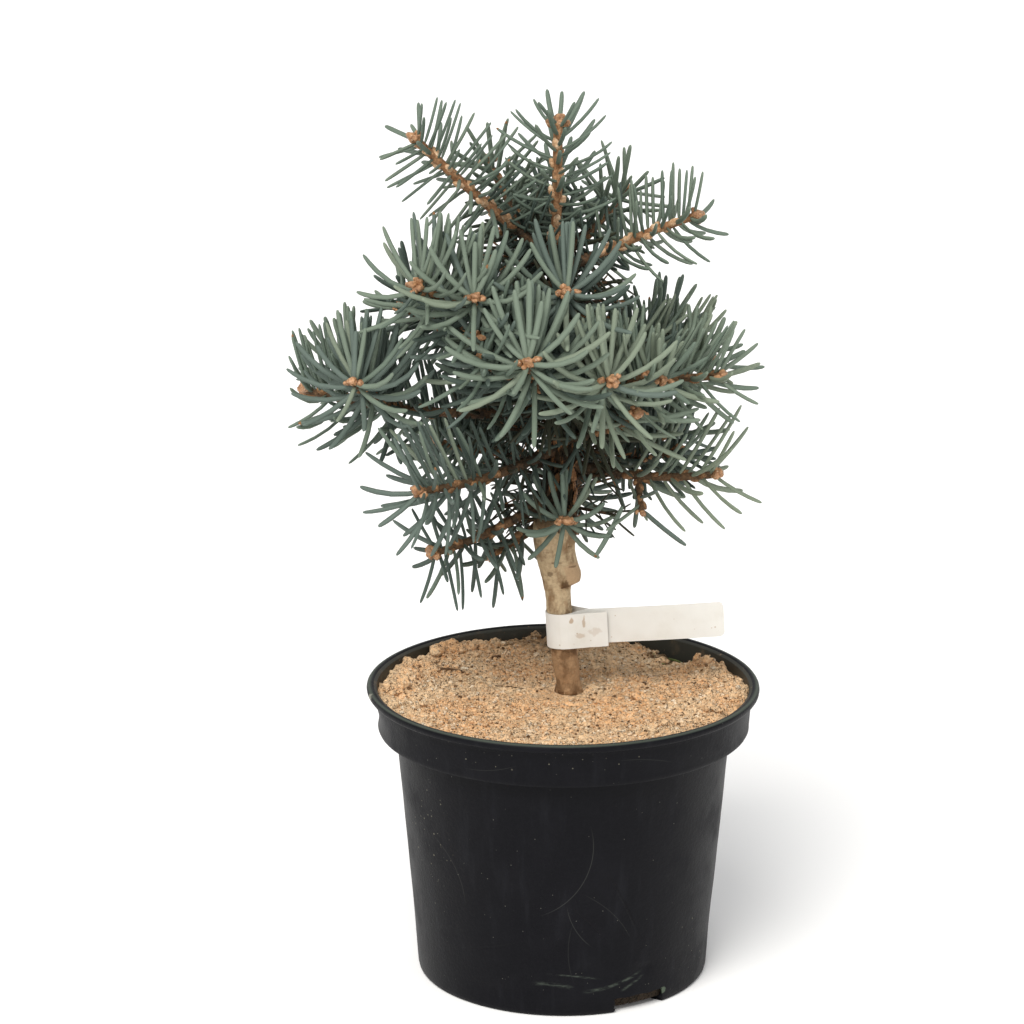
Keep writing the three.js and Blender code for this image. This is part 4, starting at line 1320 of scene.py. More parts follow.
LOW = Habit(
    needle=38, pitch=1.4, crowding=0.8, lift=0.5, upward=0.1, tones=(Tone.MOSS, Tone.DEEP, Tone.SLATE),
)
LOW_FRONT = Habit(needle=36, pitch=1.5, crowding=0.6, upward=0.2)
UPPER = Habit(
    needle=34, width=2.7, pitch=1.12, crowding=0.85, open_foot=99, open_bud=58, lift=0.05, droop=0.0,
    forward=0.1, forward_below=0.0, upward=0.15, above=1.0, painted_shade=0.15,
    tones=(Tone.MOSS, Tone.SAGE, Tone.SAGE),
)
UPPER_RIGHT = Habit(
    needle=35, width=2.9, pitch=1.2, crowding=0.9, open_foot=78, open_bud=66, lift=0.9, droop=0.2,
    forward=0.05, forward_below=0.4, upward=0.25, above=0.9, painted_shade=0.2,
    tones=(Tone.MOSS, Tone.SAGE, Tone.MOSS),
)
LEADING = Habit(
    needle=35, width=2.8, pitch=1.25, crowding=0.95, open_foot=88, open_bud=48, lift=0.0, droop=0.0,
    forward=0.6, forward_below=0.55, upward=0.0, above=1.0, painted_shade=0.3,
    tones=(Tone.MOSS, Tone.SAGE, Tone.MOSS),
)
OLD = Habit(
    needle=36, width=2.2, pitch=1.0, crowding=1.0, open_foot=82, open_bud=72, lift=0.3, upward=0.0,
    tones=(Tone.OLD, Tone.OLD, Tone.DEEP),
)
DEAD = Habit(
    needle=22, width=1.4, pitch=2.6, crowding=1.0, open_foot=55, open_bud=40, lift=0.0, upward=0.0,
    tones=(Tone.OLD, Tone.BROWN, Tone.OLD),
)


@dataclass(frozen=True)
class Shoot:
    """One shoot of the crown, from its root in the trunk to its bud.

    Its level reach and the heights of root and bud are in millimetres. bare is the share of the
    limb that is bough, side is the side of its first twig, and rosette is a twig that faces the
    front: the share of the limb where it starts and the place of its bud.
    """

    name: str
    root: float
    bearing: float
    reach: float
    tip: float
    bare: float
    twigs: int
    side: int
    habit: Habit = SIDE
    stem: float = 2.6
    young: bool = False
    rosette: Optional[tuple] = None
    sag: float = 0.1

    @property
    def node(self) -> str:
        """The node of its needled part."""
        return f"needles_{self.name}"

    @property
    def region(self) -> str:
        """The part of the crown that it belongs to."""
        if self.young:
            return "top"
        if "back" in self.name:
            return "back"
        return "left" if "left" in self.name or self.name == "hanging" else "right"


SHOOTS = (
    Shoot("upper_left", 405, 186, 77, 473.5, 0.28, 0, 1, UPPER, 2.9, True, sag=0.05),
    Shoot("upper_right", 398, -1, 75, 430, 0.3, 0, 1, UPPER_RIGHT, 2.7, True, sag=-0.04),
    Shoot("upper_back_left", 394, 124, 68, 450, 0.35, 0, 1, UPPER, 2.4),
    Shoot("upper_back_right", 406, 52, 64, 434, 0.35, 0, -1, UPPER, 2.0),
    Shoot("upper_front", 378, -86, 57, 400, 0.4, 0, 1, FRONT),
    Shoot("left_mid", 366, 215, 94, 403, 0.4, 1, 1, FRONT),
    Shoot("left_front", 350, 232, 76, 377, 0.45, 1, 1, SIDE),
    Shoot("right", 350, -19, 91, 348, 0.4, 2, -1, LEANING),
    Shoot("right_back", 362, 17, 80, 352, 0.4, 0, 1, LEANING),
    Shoot("back_top", 370, 92, 82, 418, 0.4, 1, 1, BACK),
    Shoot("far_left", 322, 180, 141, 333, 0.4, 2, 1, SIDE, rosette=(0.62, (-113.5, -42.0, 349.0))),
    Shoot("centre_front", 326, -102, 92, 370, 0.45, 1, -1, CENTRE),
    Shoot("right_centre", 334, -73, 84, 358, 0.4, 1, 1, FRONT),
    Shoot("back_left", 340, 143, 104, 374, 0.4, 2, -1, BACK),
    Shoot("back_mid", 312, 98, 98, 350, 0.4, 2, 1, BACK),
    Shoot("back_right", 330, 50, 98, 350, 0.4, 1, -1, BACK),
    Shoot("lower_right", 292, -10, 86, 289, 0.4, 1, -1, SPARSE, rosette=(0.5, (42.6, -16.0, 270.0))),
    Shoot("lower_front_right", 306, -54, 67, 333, 0.45, 0, 1, SPARSE),
    Shoot("lower_left", 302, 218, 98, 292, 0.4, 0, -1, TRAILING),
    Shoot("low_left", 276, 207, 78, 250, 0.4, 0, 1, LOW),
    Shoot("hanging", 266, 165, 40, 236, 0.4, 0, 1, LOW),
    Shoot("low_back_left", 290, 136, 92, 298, 0.4, 2, 1, BACK),
    Shoot("low_back_right", 280, 44, 92, 296, 0.4, 2, -1, BACK),
    Shoot("low_back", 270, 86, 66, 262, 0.4, 0, 1, BACK),
    Shoot("low_front", 262, -84, 30, 267, 0.0, 0, 1, LOW_FRONT),
)
LEADER = Shoot("leader", 414.3, 90, 0, 480.5, 0.0, 0, 1, LEADING, 3.1, True)
ALL_SHOOTS = (LEADER, *SHOOTS)


@dataclass
class Spray:
    """One stem or twig with the needles that grow on it between two shares of its limb."""

    shoot: Shoot
    limb: Limb
    start: float
    end: float
    foot: float
    tip: float
    order: int
    habit: Habit
    scale: float = 1.0
    wood: bool = True
    needles: list = field(default_factory=list)

    def span(self) -> float:
        """Gives the length that bears needles."""
        return self.limb.length * (self.end - self.start)


def swung(vector: np.ndarray, axis: np.ndarray, degrees: float) -> np.ndarray:
    """Turns a vector round an axis of length 1."""
    turn = math.radians(degrees)
    aside = np.cross(axis, vector)
    return vector * math.cos(turn) + aside * math.sin(turn) + axis * (vector @ axis) * (1 - math.cos(turn))


@dataclass
class Needle:
    """Where a needle leaves its stem, and how it heads, bends and measures."""

    root: np.ndarray
    tangent: np.ndarray
    heading: np.ndarray
    bent: np.ndarray
    length: float
    width: float
    tone: Tone
    tip_tone: Tone

    def changed(self, swing: float, share: float) -> "Needle":
        """Gives the needle swung round its stem and cut to a share of its length."""
        heading, bent = (swung(way, self.tangent, swing) for way in (self.heading, self.bent))
        return replace(self, heading=heading, bent=bent, length=self.length * share)

    def curve(self, parameters: np.ndarray) -> np.ndarray:
        """Gives points along the needle."""
        knee = self.root + self.heading * self.length / 2
        end = knee + self.bent * self.length / 2
        t = parameters[:, None]
        return (1 - t) ** 2 * self.root + 2 * t * (1 - t) * knee + t * t * end

    def shaped(self, model: Model, thickness: float) -> np.ndarray:
        """Bends the model of a straight needle along this one's curve."""
        x, y, z = model.points.T[:, :, None]
        along = np.clip(z, 0, 1)
        ways = unit((1 - along) * self.heading + along * self.bent)
        flat = unit(np.cross(ways, self.tangent))
        thick = unit(np.cross(flat, ways))
        return self.curve(along[:, 0]) + flat * (x * self.width) + thick * (y * self.width * thickness)


@dataclass
class Crown:
    """The crown: boughs, stems, twigs, buds and needles by one seeded growing rule.

    Each try is how far a needle swings aside to find room, and the share of its length it keeps.
    """

    trunk: Trunk
    box: tuple
    clearance: float = 0.3
    limb_root: float = 3.6
    limb_end: float = 3.0
    sag: float = 0.1
    first_seed: int = 11
    twig_first: float = 0.12
    twig_last: float = 0.5
    twig_spread: float = 52.0
    twig_wobble: float = 8.0
    twig_rise: float = 10.0
    twig_share: float = 0.42
    twig_bare: float = 0.08
    fine_length: float = 0.8
    stem_taper: float = 0.8
    twig_thickness: float = 0.74
    twig_taper: float = 0.85
    twig_scale: float = 0.94
    fine_thickness: float = 0.75
    fine_taper: float = 0.88
    fine_scale: float = 0.76
    old_lowest: float = 300.0
    dead_twigs: int = 64
    dead_lowest: float = 262.0
    dead_highest: float = 402.0
    dead_seed: int = 404
    needle_seed: int = 900
    turn_wobble: float = 9.0
    opening_wobble: float = 8.0
    own_tone: float = 0.6
    brown_tips: float = 0.015
    cushion_seed: int = 515
    bud_seed: int = 303
    stray: tuple = ((31.5, -26.0, 276.0), (19.4, -34.0, 247.9))
    needle_thickness: float = 0.66
    beads: int = 8
    bead_radius: float = 0.8
    bead_pitch: float = 3.0
    berth: float = 0.7
    box_berth: float = 0.6
    tries: tuple = ((0, 1.0), (7, 1.0), (-7, 1.0), (13, 0.94), (-13, 0.88), (0, 0.72))
    sprays: list = field(default_factory=list)

    def shoot_limb(self, shoot: Shoot) -> Limb:
        """Gives a shoot's curve from inside the trunk to its bud."""
        root = self.trunk.centre(shoot.root)
        if shoot is LEADER:
            return Limb.sagging(root, np.array([root[0] + 1, root[1], shoot.tip]), 0)
        bud = root + level(shoot.bearing) * shoot.reach
        bud[2] = shoot.tip
        return Limb.sagging(root, bud, shoot.sag * shoot.reach)

    def twigs(
        self, stem: Limb, start: float, count: int, first_side: int, random: SeededRandom
    ) -> list[Limb]:
        """Grows side twigs from a stem by the seeded rule."""
        twigs = []
        for number in range(count):
            share = lerp(start, 1, lerp(self.twig_first, self.twig_last, (number + random() * 0.5) / count))
            side_sign = first_side if number % 2 == 0 else -first_side
            turn = math.radians(side_sign * (self.twig_spread + random.between(-1, 1) * self.twig_wobble))
            length = stem.length * self.twig_share * random.between(0.85, 1.1)
            root, tangent, side, upper = stem.frame(share)
            rise = math.sin(math.radians(self.twig_rise))
            heading = unit(tangent * math.cos(turn) - side * math.sin(turn) + upper * rise)
            twigs.append(Limb.sagging(root, root + heading * length, self.sag * length))
        return twigs

    def plan(self) -> None:
        """Lays out every stem, twig and finer twig before any needle grows."""
        for number, shoot in enumerate(ALL_SHOOTS):
            random = SeededRandom(self.first_seed + number)
            limb = self.shoot_limb(shoot)
            start = shoot.bare + (self.clearance / limb.length if shoot.bare else 0)
            tip = shoot.stem * self.stem_taper
            self.sprays.append(Spray(shoot, limb, start, 1.0, shoot.stem, tip, 0, shoot.habit))
            twigs = self.twigs(limb, start, shoot.twigs, shoot.side, random)
            if shoot.rosette:
                share, bud = shoot.rosette
                twigs[0] = Limb.sagging(limb.points(share)[0], np.array(bud), 3.0)
            foot = shoot.stem * self.twig_thickness
            for order, stalk in enumerate(twigs):
                rank, habit = (2, BARE) if shoot.habit is SPARSE else (1, shoot.habit)
                if shoot.name == "far_left" and order == 0:
                    habit = FRONT
                scale = 1.0 if habit is FRONT else self.twig_scale
                tip = foot * self.twig_taper
                self.sprays.append(Spray(shoot, stalk, self.twig_bare, 1.0, foot, tip, rank, habit, scale))
                first_side = 1 if random() > 0.5 else -1
                for fine in self.twigs(stalk, 0.1, int(shoot.habit is BACK), first_side, random):
                    short = Limb.sagging(fine.start, fine.points(self.fine_length)[0], 1.0)
                    thin = foot * self.fine_thickness
                    ends = (0.1, 1.0, thin, thin * self.fine_taper)
                    self.sprays.append(Spray(shoot, short, *ends, 2, shoot.habit, self.fine_scale))
            if shoot.bare and shoot.root > self.old_lowest:
                ends = (shoot.bare * 0.3, shoot.bare, self.limb_end, self.limb_end)
                self.sprays.append(Spray(shoot, limb, *ends, 0, OLD, wood=False))

    def plan_dead_twigs(self) -> None:
        """Grows short dead twigs from the trunk among the boughs."""
        random = SeededRandom(self.dead_seed)
        for number in range(self.dead_twigs):
            height = lerp(self.dead_lowest, self.dead_highest, (number + random()) / self.dead_twigs)
            way = level(random.between(-38, 216))
            root = self.trunk.centre(height)
            end = root + way * random.between(20, 40) + np.array([0, 0, random.between(-8, 16)])
            limb = Limb.sagging(root, end, random.between(-2, 4))
            owner = min(SHOOTS, key=lambda shoot: abs(shoot.root - height))
            self.sprays.append(Spray(owner, limb, 0.3, 1.0, 1.1, 0.8, 3, DEAD))

    def needle(self, spray: Spray, number: int, count: int, deal: float, random: SeededRandom) -> Needle:
        """Plans one needle of a spray.

        Args:
            spray: The spray.
            number: The needle's number from the foot.
            count: How many the spray has.
            deal: The spray's own place among its tones, from 0 to 1.
            random: The spray's random source.

        Returns:
            The needle, shorter at both ends of the spray, below and above.
        """
        habit = spray.habit
        along = (number + 0.5) / count
        share = lerp(spray.start, spray.end, lerp(0.02, 0.99, along**habit.crowding))
        place, tangent, side, upper = spray.limb.frame(share)
        flatness = math.hypot(tangent[0], tangent[1])
        spiral = ((number * GOLDEN_ANGLE) % 360) / 180 - 1
        crowded = 180 * spiral * abs(spiral) ** (1.7 * habit.upward * flatness)
        turn = math.radians(crowded + random.between(-1, 1) * self.turn_wobble)
        below, above = max(0.0, -math.cos(turn)), max(0.0, math.cos(turn))
        opening = lerp(habit.open_foot, habit.open_bud, along**2)
        opening += random.between(-1, 1) * self.opening_wobble
        out = math.sin(math.radians(opening))
        heading = tangent * math.cos(math.radians(opening))
        heading = heading + (upper * math.cos(turn) + side * math.sin(turn)) * out
        heading[2] -= habit.droop * flatness * math.sin(turn) ** 2
        heading = unit(heading)
        forward = lerp(habit.forward, habit.forward_below, below) * random.between(0.6, 1.4)
        bent = heading + tangent * forward + side * random.between(-0.1, 0.1)
        bent[2] += habit.lift * flatness * (1 - 0.65 * below) * random.between(0.7, 1.25)
        root = place + heading * lerp(spray.foot, spray.tip, along) * 0.7
        foot = lerp(0.8, 1, min(1, along * 4))
        bud = lerp(1, 0.66 if spray.order else 0.8, smooth(along, 0.8, 1))
        length = habit.needle * spray.scale
        length *= foot * bud * lerp(1, 0.88, below) * lerp(1, habit.above, above)
        dealt = deal if random() < self.own_tone else random()
        tone = habit.tones[int(dealt * len(habit.tones))]
        # painted shade: needles near the stem's foot take the dark tone to stand for shade inside the crown
        if random() < habit.painted_shade * (1 - smooth(along, 0.05, 0.5)):
            tone = Tone.DEEP
        tip_tone = Tone.BROWN if random() < self.brown_tips else tone
        length *= random.between(0.88, 1.05)
        width = habit.width * random.between(0.9, 1.1)
        return Needle(root, tangent, heading, unit(bent), length, width, tone, tip_tone)

    def needles_of(self, spray: Spray, random: SeededRandom) -> list[Needle]:
        """Plans the needles of one spray, in a spiral from its foot to its bud."""
        count = max(4, round(spray.span() / spray.habit.pitch))
        deal = random()
        return [self.needle(spray, number, count, deal, random) for number in range(count)]

    def wood_beads(self) -> list[tuple[int, np.ndarray, float]]:
        """Gives the beads that stand for the trunk, boughs, stems and twigs."""
        trunk, beads = self.trunk, []
        for height in np.arange(trunk.stations[0][0], trunk.stations[-1][0], self.bead_pitch):
            swollen = trunk.graft_bulge if abs(height - trunk.graft_height) < trunk.graft_half else 0
            beads.append((-1, trunk.centre(height), float(trunk.radius(height)) + swollen))
        for number, spray in enumerate(self.sprays):
            if spray.wood and spray.order < 3:
                start = spray.start if spray.order else 0.1
                for share in np.arange(start, 1, self.bead_pitch / spray.limb.length):
                    beads.append((number, spray.limb.points(share)[0], spray.foot * 0.9))
        return beads

    def grow(self) -> None:
        """Grows the needles in turn over all sprays, each clear of other wood and other sprays."""
        planned = [
            (spray, self.needles_of(spray, SeededRandom(self.needle_seed + number)))
            for number, spray in enumerate(self.sprays)
        ]
        most = sum(len(needles) for _, needles in planned)
        wood = self.wood_beads()
        filled = len(wood)
        room = filled + most * self.beads
        owners, places, radii = np.full(room, -2), np.zeros((room, 3)), np.full(room, self.bead_radius)
        for number, bead in enumerate(wood):
            owners[number], places[number], radii[number] = bead
        parameters = np.linspace(0.16, 1, self.beads)
        low, high = (np.array(corner) for corner in self.box)
        for turn in range(max(len(needles) for _, needles in planned)):
            for number, (spray, needles) in enumerate(planned):
                if turn >= len(needles):
                    continue
                needle = needles[len(needles) - 1 - turn]
                nearby = np.abs(places[:filled] - needle.root).max(axis=1) < needle.length + 12
                nearby &= owners[:filled] != number
                near_places, near_radii = places[:filled][nearby], radii[:filled][nearby]
                for swing, share in self.tries:
                    trial = needle.changed(swing, share)
                    own = trial.curve(parameters)
                    if np.any(own < low + self.box_berth) or np.any(own > high - self.box_berth):
                        continue
                    gaps = np.linalg.norm(own[:, None, :] - near_places, axis=2) - near_radii
                    if gaps.size and gaps.min() < self.berth:
                        continue
                    spray.needles.append(trial)
                    end = filled + self.beads
                    owners[filled:end], places[filled:end] = number, own
                    filled = end
                    break
        self.add_stray()
        kept = sum(len(spray.needles) for spray in self.sprays)
        LOG.info("crown: %d needles of %d planned, on %d sprays", kept, most, len(self.sprays))

    def add_stray(self) -> None:
        """Adds the single needle that hangs beside the trunk."""
        root, end = (np.array(place) for place in self.stray)
        way = unit(end - root)
        bent = unit(way + np.array([-0.25, 0, 0]))
        length = float(np.linalg.norm(end - root))
        stray = Needle(root, np.array([0.0, 1.0, 0.0]), way, bent, length, 3.0, Tone.MOSS, Tone.BROWN)
        self.sprays[-1].needles.append(stray)

    def build_needles(self) -> None:
        """Joins the needles of each region in one piece, from one flat, blunt model."""
        tones = list(Tone)
        skins = [needle_skin(tone) for tone in tones]
        outline = [
            (0.28, 0.0), (0.34, 0.03), (0.47, 0.1), (0.5, 0.25), (0.5, 0.5), (0.5, 0.74), (0.46, 0.88),
            (0.36, 0.96), (0.18, 0.995),
        ]
        model = Model(turned("needle_model", 6, outline))
        tip_faces = model.points[model.faces].mean(axis=1)[:, 2] > 0.94
        for region in ("top", "left", "right", "back"):
            joined = Copies()
            for spray in self.sprays:
                for needle in spray.needles if spray.shoot.region == region else ():
                    skin = np.where(tip_faces, tones.index(needle.tip_tone), tones.index(needle.tone))
                    joined.add(model, needle.shaped(model, self.needle_thickness), skin)
            nodes = [shoot.node for shoot in ALL_SHOOTS if shoot.region == region]
            joined.join(f"crown_needles_{region}", Slot.NEEDLES, nodes, *skins)

    def add_cushions(self, stems: Copies, lump: Model, spray: Spray, random: SeededRandom) -> None:
        """Sets swollen leaf cushions on a stem, in a spiral."""
        pitch = (5.2, 4.4, 3.6)[spray.order]
        for number in range(int(spray.span() / pitch)):
            share = lerp(spray.start, 1, (number + 0.5) * pitch / spray.span())
            place, tangent, side, upper = spray.limb.frame(share)
            turn = math.radians(number * GOLDEN_ANGLE + random.between(-20, 20))
            out = side * math.cos(turn) + upper * math.sin(turn)
            thick = lerp(spray.foot, spray.tip, share)
            shape = lump.points * np.array([0.8, 0.85, 1.45]) * thick * random.between(0.8, 1.15)
            shape[:, 0] += 0.3 * shape[:, 2]
            stems.lay(lump, shape, place + out * thick * 0.95, (out, np.cross(tangent, out), tangent), 1)

    def build_stems(self) -> None:
        """Joins the stems and twigs, with swollen cushions under the needles, in two pieces."""
        tubes = (Model.tube(12, 56), Model.tube(10, 28), Model.tube(8, 18), Model.tube(6, 10))
        lump = Model.lump(2, 41.0, 0.18)
        random = SeededRandom(self.cushion_seed)
        dead = twig("dead_twig", (58, 44, 30), (36, 28, 20), (92, 68, 44))
        young = (
            twig("young_twig", (150, 106, 70), (98, 70, 46), (182, 140, 102)),
            twig("leaf_cushion", (212, 168, 126), (160, 112, 74), (240, 214, 182)),
        )
        older = (
            twig("older_twig", (88, 66, 44), (54, 42, 30), (124, 92, 62)),
            twig("older_cushion", (138, 100, 66), (90, 66, 44), (178, 134, 94)),
        )
        for name, is_young, skins in (("young_stems", True, young), ("older_stems", False, older)):
            stems = Copies()
            for number, spray in enumerate(self.sprays):
                if spray.shoot.young is not is_young or not spray.wood:
                    continue
                tube = tubes[spray.order]
                start = (spray.start, 0.0, 0.0, 0.12)[spray.order]
                points = spray.limb.wrapped(tube, start, 1, spray.foot, spray.tip)
                away = unit(points - spray.limb.points(0.5))
                points += 0.5 * rough(points, 2.6, number, 2)[:, None] * away * spray.foot / 3
                stems.add(tube, points, 2 if spray.order == 3 else 0)
                if spray.order < 3:
                    self.add_cushions(stems, lump, spray, random)
            nodes = [shoot.node for shoot in ALL_SHOOTS if shoot.young is is_young]
            stems.join(name, Slot.BOUGH, nodes, *skins, dead)

    def build_boughs(self) -> None:
        """Joins the boughs in one piece, with scaly bark."""
        tube = Model.tube(20, 44)
        boughs = Copies()
        grown = [shoot for shoot in SHOOTS if shoot.bare]
        for number, shoot in enumerate(grown):
            limb = self.shoot_limb(shoot)
            inside = 3.0 / limb.length
            points = limb.wrapped(tube, inside, shoot.bare, self.limb_root, max(shoot.stem, 2.4))
            away = unit(points - limb.points(lerp(inside, shoot.bare, tube.points[:, 2])))
            points += 0.8 * np.maximum(rough(points, 2.4, number, 3), -0.3)[:, None] * away
            boughs.add(tube, points)
        skin = twig("bough_bark", (58, 47, 33), (34, 28, 20), (106, 78, 52))
        boughs.join("bough_bark", Slot.BOUGH, [f"bough_{shoot.name}" for shoot in grown], skin)

    def build_buds(self) -> None:
        """Sets a cluster of resinous buds on the tip of each stem and twig."""
        lumps = [Model.lump(3, seed, 0.6) for seed in (11.0, 13.0, 17.0)]
        random = SeededRandom(self.bud_seed)
        buds = Copies()
        for spray in self.sprays:
            if spray.order > 2 or not spray.wood:
                continue
            tip, tangent, side, upper = spray.limb.frame(1.0)
            scale, count = ((1.0, 7), (0.86, 7), (0.62, 2))[spray.order]
            cluster = [(0.0, 0.0, 2.7), (random.between(-14, 14), 4.3, 2.1)]
            cluster += [(180 + random.between(-20, 20), 4.7, 2.0)]
            for _ in range(4):
                cluster.append((random.between(0, 360), random.between(1.8, 3.6), random.between(1.2, 1.9)))
            for turn, away, size in cluster[:count]:
                outward = side * math.cos(math.radians(turn)) + upper * math.sin(math.radians(turn))
                axis = unit(tangent + outward * away * 0.22)
                centre = tip + (outward * away + tangent * (1.0 - 0.3 * away)) * scale
                model = lumps[int(random() * 3)]
                shape = model.points * np.array([1.0, 1.0, 1.2]) * size * scale * random.between(0.85, 1.12)
                buds.lay(model, shape, centre, (*across(axis[None, :]), axis))
        buds.join("resin_buds", Slot.BOUGH, [shoot.node for shoot in ALL_SHOOTS], resin())

    def build(self) -> None:
        """Grows and dresses the whole crown."""
        self.plan()
        self.plan_dead_twigs()
        self.grow()
        self.build_boughs()
        self.build_stems()
        self.build_buds()
        self.build_needles()


# Tag


@dataclass
class Tag:
    """The white tag: a strip looped round the trunk with its tail to the right."""

    trunk: Trunk
    width: float = 20.0
    thickness: float = 0.5
    bottom: float = 186.9
    aside: float = 1.6
    tilt: float = 3.4
    tail: float = 81.0
    loop_radius: float = 9.0
    open_half: float = 0.62
    knot_out: float = 1.9
    knot_drop: float = 1.5
    bow: float = 5.0
    arch: float = 1.1
    rounding: float = 2.4
    corner: float = 3.0
    wrinkle: float = 0.18
    steps: int = 150
    rows: int = 14
    flap_end: float = 25.0
    flap_drop: float = 1.3

    def path(self) -> np.ndarray:
        """Gives the strip's way round the trunk and along its tail, seen from above."""
        turns = np.linspace(self.open_half, math.tau - self.open_half, 60)
        loop = np.stack([np.cos(turns), np.sin(turns)], axis=1) * self.loop_radius
        knot = np.array([math.cos(self.open_half) * self.loop_radius * self.knot_out, -self.knot_drop])
        end = np.array([self.loop_radius + self.tail, -self.knot_drop])
        shares = np.linspace(0.02, 1, 60)[:, None]
        middle = (knot + end) / 2 - np.array([0, self.bow])
        tail = (1 - shares) ** 2 * knot + 2 * shares * (1 - shares) * middle + shares**2 * end
        first = knot + np.array([self.thickness, self.thickness * 1.2])
        way = np.concatenate([first[None, :], loop, knot[None, :], tail])
        lengths = np.concatenate([[0], np.cumsum(np.linalg.norm(np.diff(way, axis=0), axis=1))])
        wanted = np.linspace(0, lengths[-1], self.steps + 1)
        return np.stack([np.interp(wanted, lengths, column) for column in way.T], axis=1)

    def flap(self) -> np.ndarray:
        """Gives the way of the short end that lies over the tail's beginning."""
        along = np.linspace(-1.5, self.flap_end, self.steps + 1)
        out = np.interp(along, [-1.5, 3.0, 8.0, 15.0, self.flap_end], [-9.3, -9.4, -8.4, -6.4, -5.2])
        return np.stack([along, out], axis=1)

    def build(self) -> None:
        """Builds the strip and the flap and stands them for their node."""
        skin = tag_plastic()
        self.build_strip("loop_tag", self.path(), 0.0, skin)
        self.build_strip("tag_flap", self.flap(), self.flap_drop, skin)

    def build_strip(self, name: str, path: np.ndarray, drop: float, skin: bpy.types.Material) -> None:
        """Models a strip from a grid along a path and gives it its thickness.

        Args:
            name: The piece's name.
            path: Its way, seen from above.
            drop: How far it hangs below the tag, in millimetres.
            skin: Its material.
        """
        grid = bpy.ops.mesh.primitive_grid_add
        strip = primitive(grid, x_subdivisions=self.steps, y_subdivisions=self.rows, size=MM)
        strip.name = name
        points = points_of(strip)
        x, y = path[np.rint((points[:, 0] + 0.5) * self.steps).astype(int)].T
        reach = self.loop_radius + self.tail
        near_end = np.clip((x - (reach - self.corner)) / self.corner, 0, 1)
        rounding = self.rounding * (1 - np.sqrt(1 - near_end**2))
        height = rounding + (points[:, 1] + 0.5) * (self.width - 2 * rounding)
        arch = self.arch * np.sin(np.clip(x / reach, 0, 1) * math.pi)
        wrinkle = self.wrinkle * rough(np.stack([x, y, height], axis=1), 9.0, 2.0, 2)
        turn = math.radians(self.tilt)
        along = x * math.cos(turn) - (height + arch) * math.sin(turn)
        up = x * math.sin(turn) + (height + arch) * math.cos(turn)
        sunk = arch * 0.4 + drop * smooth(x, 0, self.flap_end)
        centre = self.trunk.centre(self.bottom + self.width / 2)
        placed = [centre[0] + self.aside + along, centre[1] + y + wrinkle, self.bottom + up - sunk]
        move_points(strip, np.stack(placed, axis=1))
        apply_modifier(strip, "SOLIDIFY", thickness=self.thickness * MM, offset=0)
        strip.data.materials.append(skin)
        bpy.ops.object.shade_smooth_by_angle(angle=math.radians(50))
        dress(strip, ["plant_tag"])


# Studio


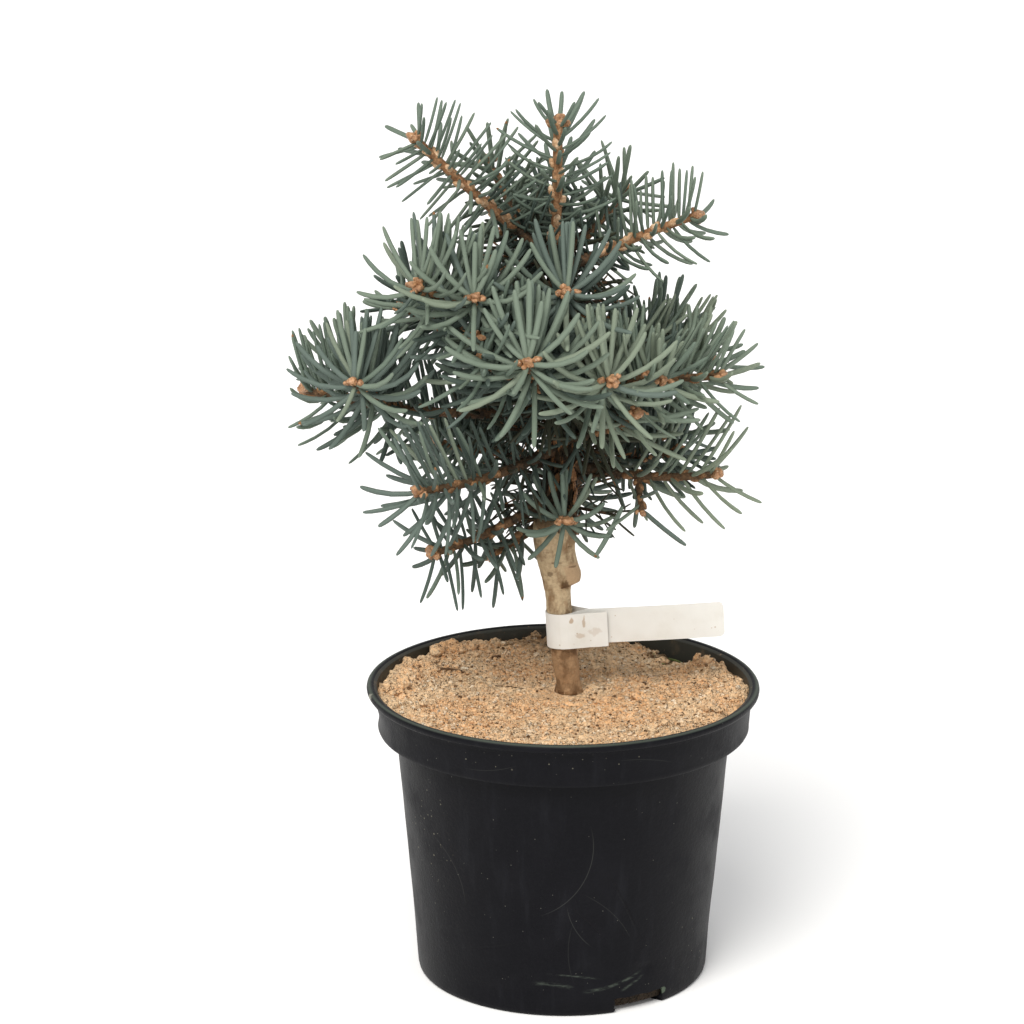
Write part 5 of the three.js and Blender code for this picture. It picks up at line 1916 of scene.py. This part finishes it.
@dataclass
class Studio:
    """The floor, the lights and the camera, in metres where no other unit is named."""

    camera_place: Place = (-28.5, -2000.0, 831.0)
    camera_tilt: float = 15.79
    focal_pixels: float = 3770.0
    image_pixels: float = 1024.0
    sensor: float = 36.0
    floor_size: float = 30.0
    floor_colour: Colour = (252, 252, 252)
    sky: float = 0.66
    sun: float = 2.8
    sun_width: float = 34.0
    sun_bearing: float = -112.0
    sun_height: float = 50.0
    fill_place: Place = (1.9, -2.2, 1.0)
    fill_size: float = 1.6
    fill_power: float = 8.0
    fill_aim: Place = (0.0, 0.0, 0.26)

    def add(self, name: str, data: Union[bpy.types.Camera, bpy.types.Light]) -> bpy.types.Object:
        """Puts a camera or a light in the scene."""
        made = bpy.data.objects.new(name, data)
        bpy.context.scene.collection.objects.link(made)
        return made

    def build_floor(self) -> None:
        """Lays a large, plain pale floor."""
        floor = primitive(bpy.ops.mesh.primitive_plane_add, size=self.floor_size)
        floor.name = "studio_floor"
        skin = Painter("studio_floor").finish(linear(self.floor_colour), 0.9, specular=0.1)
        floor.data.materials.append(skin)
        floor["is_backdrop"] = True

    def build_camera(self) -> None:
        """Sets the camera at the photograph's viewing angle, its place in millimetres."""
        data = bpy.data.cameras.new("view")
        data.sensor_fit = "HORIZONTAL"
        data.sensor_width = self.sensor
        data.lens = self.focal_pixels / self.image_pixels * self.sensor
        data.clip_end = 100
        camera = self.add("view", data)
        camera.location = metres(self.camera_place)
        camera.rotation_euler = (math.radians(90 - self.camera_tilt), 0, 0)
        bpy.context.scene.camera = camera

    def build_lights(self) -> None:
        """Sets the sky, a broad sun from the upper left and a soft fill."""
        world = bpy.data.worlds.new("sky")
        world.use_nodes = True
        background = world.node_tree.nodes["Background"].inputs
        background["Color"].default_value = (1, 1, 1, 1)
        background["Strength"].default_value = self.sky
        bpy.context.scene.world = world
        data = bpy.data.lights.new("sun", "SUN")
        data.energy = self.sun
        data.angle = math.radians(self.sun_width)
        data.color = (1.0, 0.98, 0.94)
        way = level(self.sun_bearing) * math.cos(math.radians(self.sun_height))
        way[2] = math.sin(math.radians(self.sun_height))
        self.add("sun", data).rotation_euler = Vector((-way).tolist()).to_track_quat("-Z", "Y").to_euler()
        data = bpy.data.lights.new("fill", "AREA")
        data.shape = "SQUARE"
        data.size = self.fill_size
        data.energy = self.fill_power
        fill = self.add("fill", data)
        fill.location = self.fill_place
        aim = Vector(self.fill_aim) - fill.location
        fill.rotation_euler = aim.to_track_quat("-Z", "Y").to_euler()

    def build(self) -> None:
        """Builds the whole studio."""
        self.build_floor()
        self.build_camera()
        self.build_lights()
        bpy.context.scene.view_settings.view_transform = "Standard"


def main() -> None:
    """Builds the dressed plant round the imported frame, piece by piece."""
    logging.basicConfig(level=logging.INFO, format="%(name)s: %(message)s")
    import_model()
    cad_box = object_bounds()
    Studio().build()
    LOG.info("studio built")
    Pot().build()
    Soil().build()
    trunk = Trunk()
    trunk.build()
    Tag(trunk).build()
    Crown(trunk, tuple(tuple(np.array(corner) / MM) for corner in cad_box)).build()


if __name__ == "__main__":
    main()
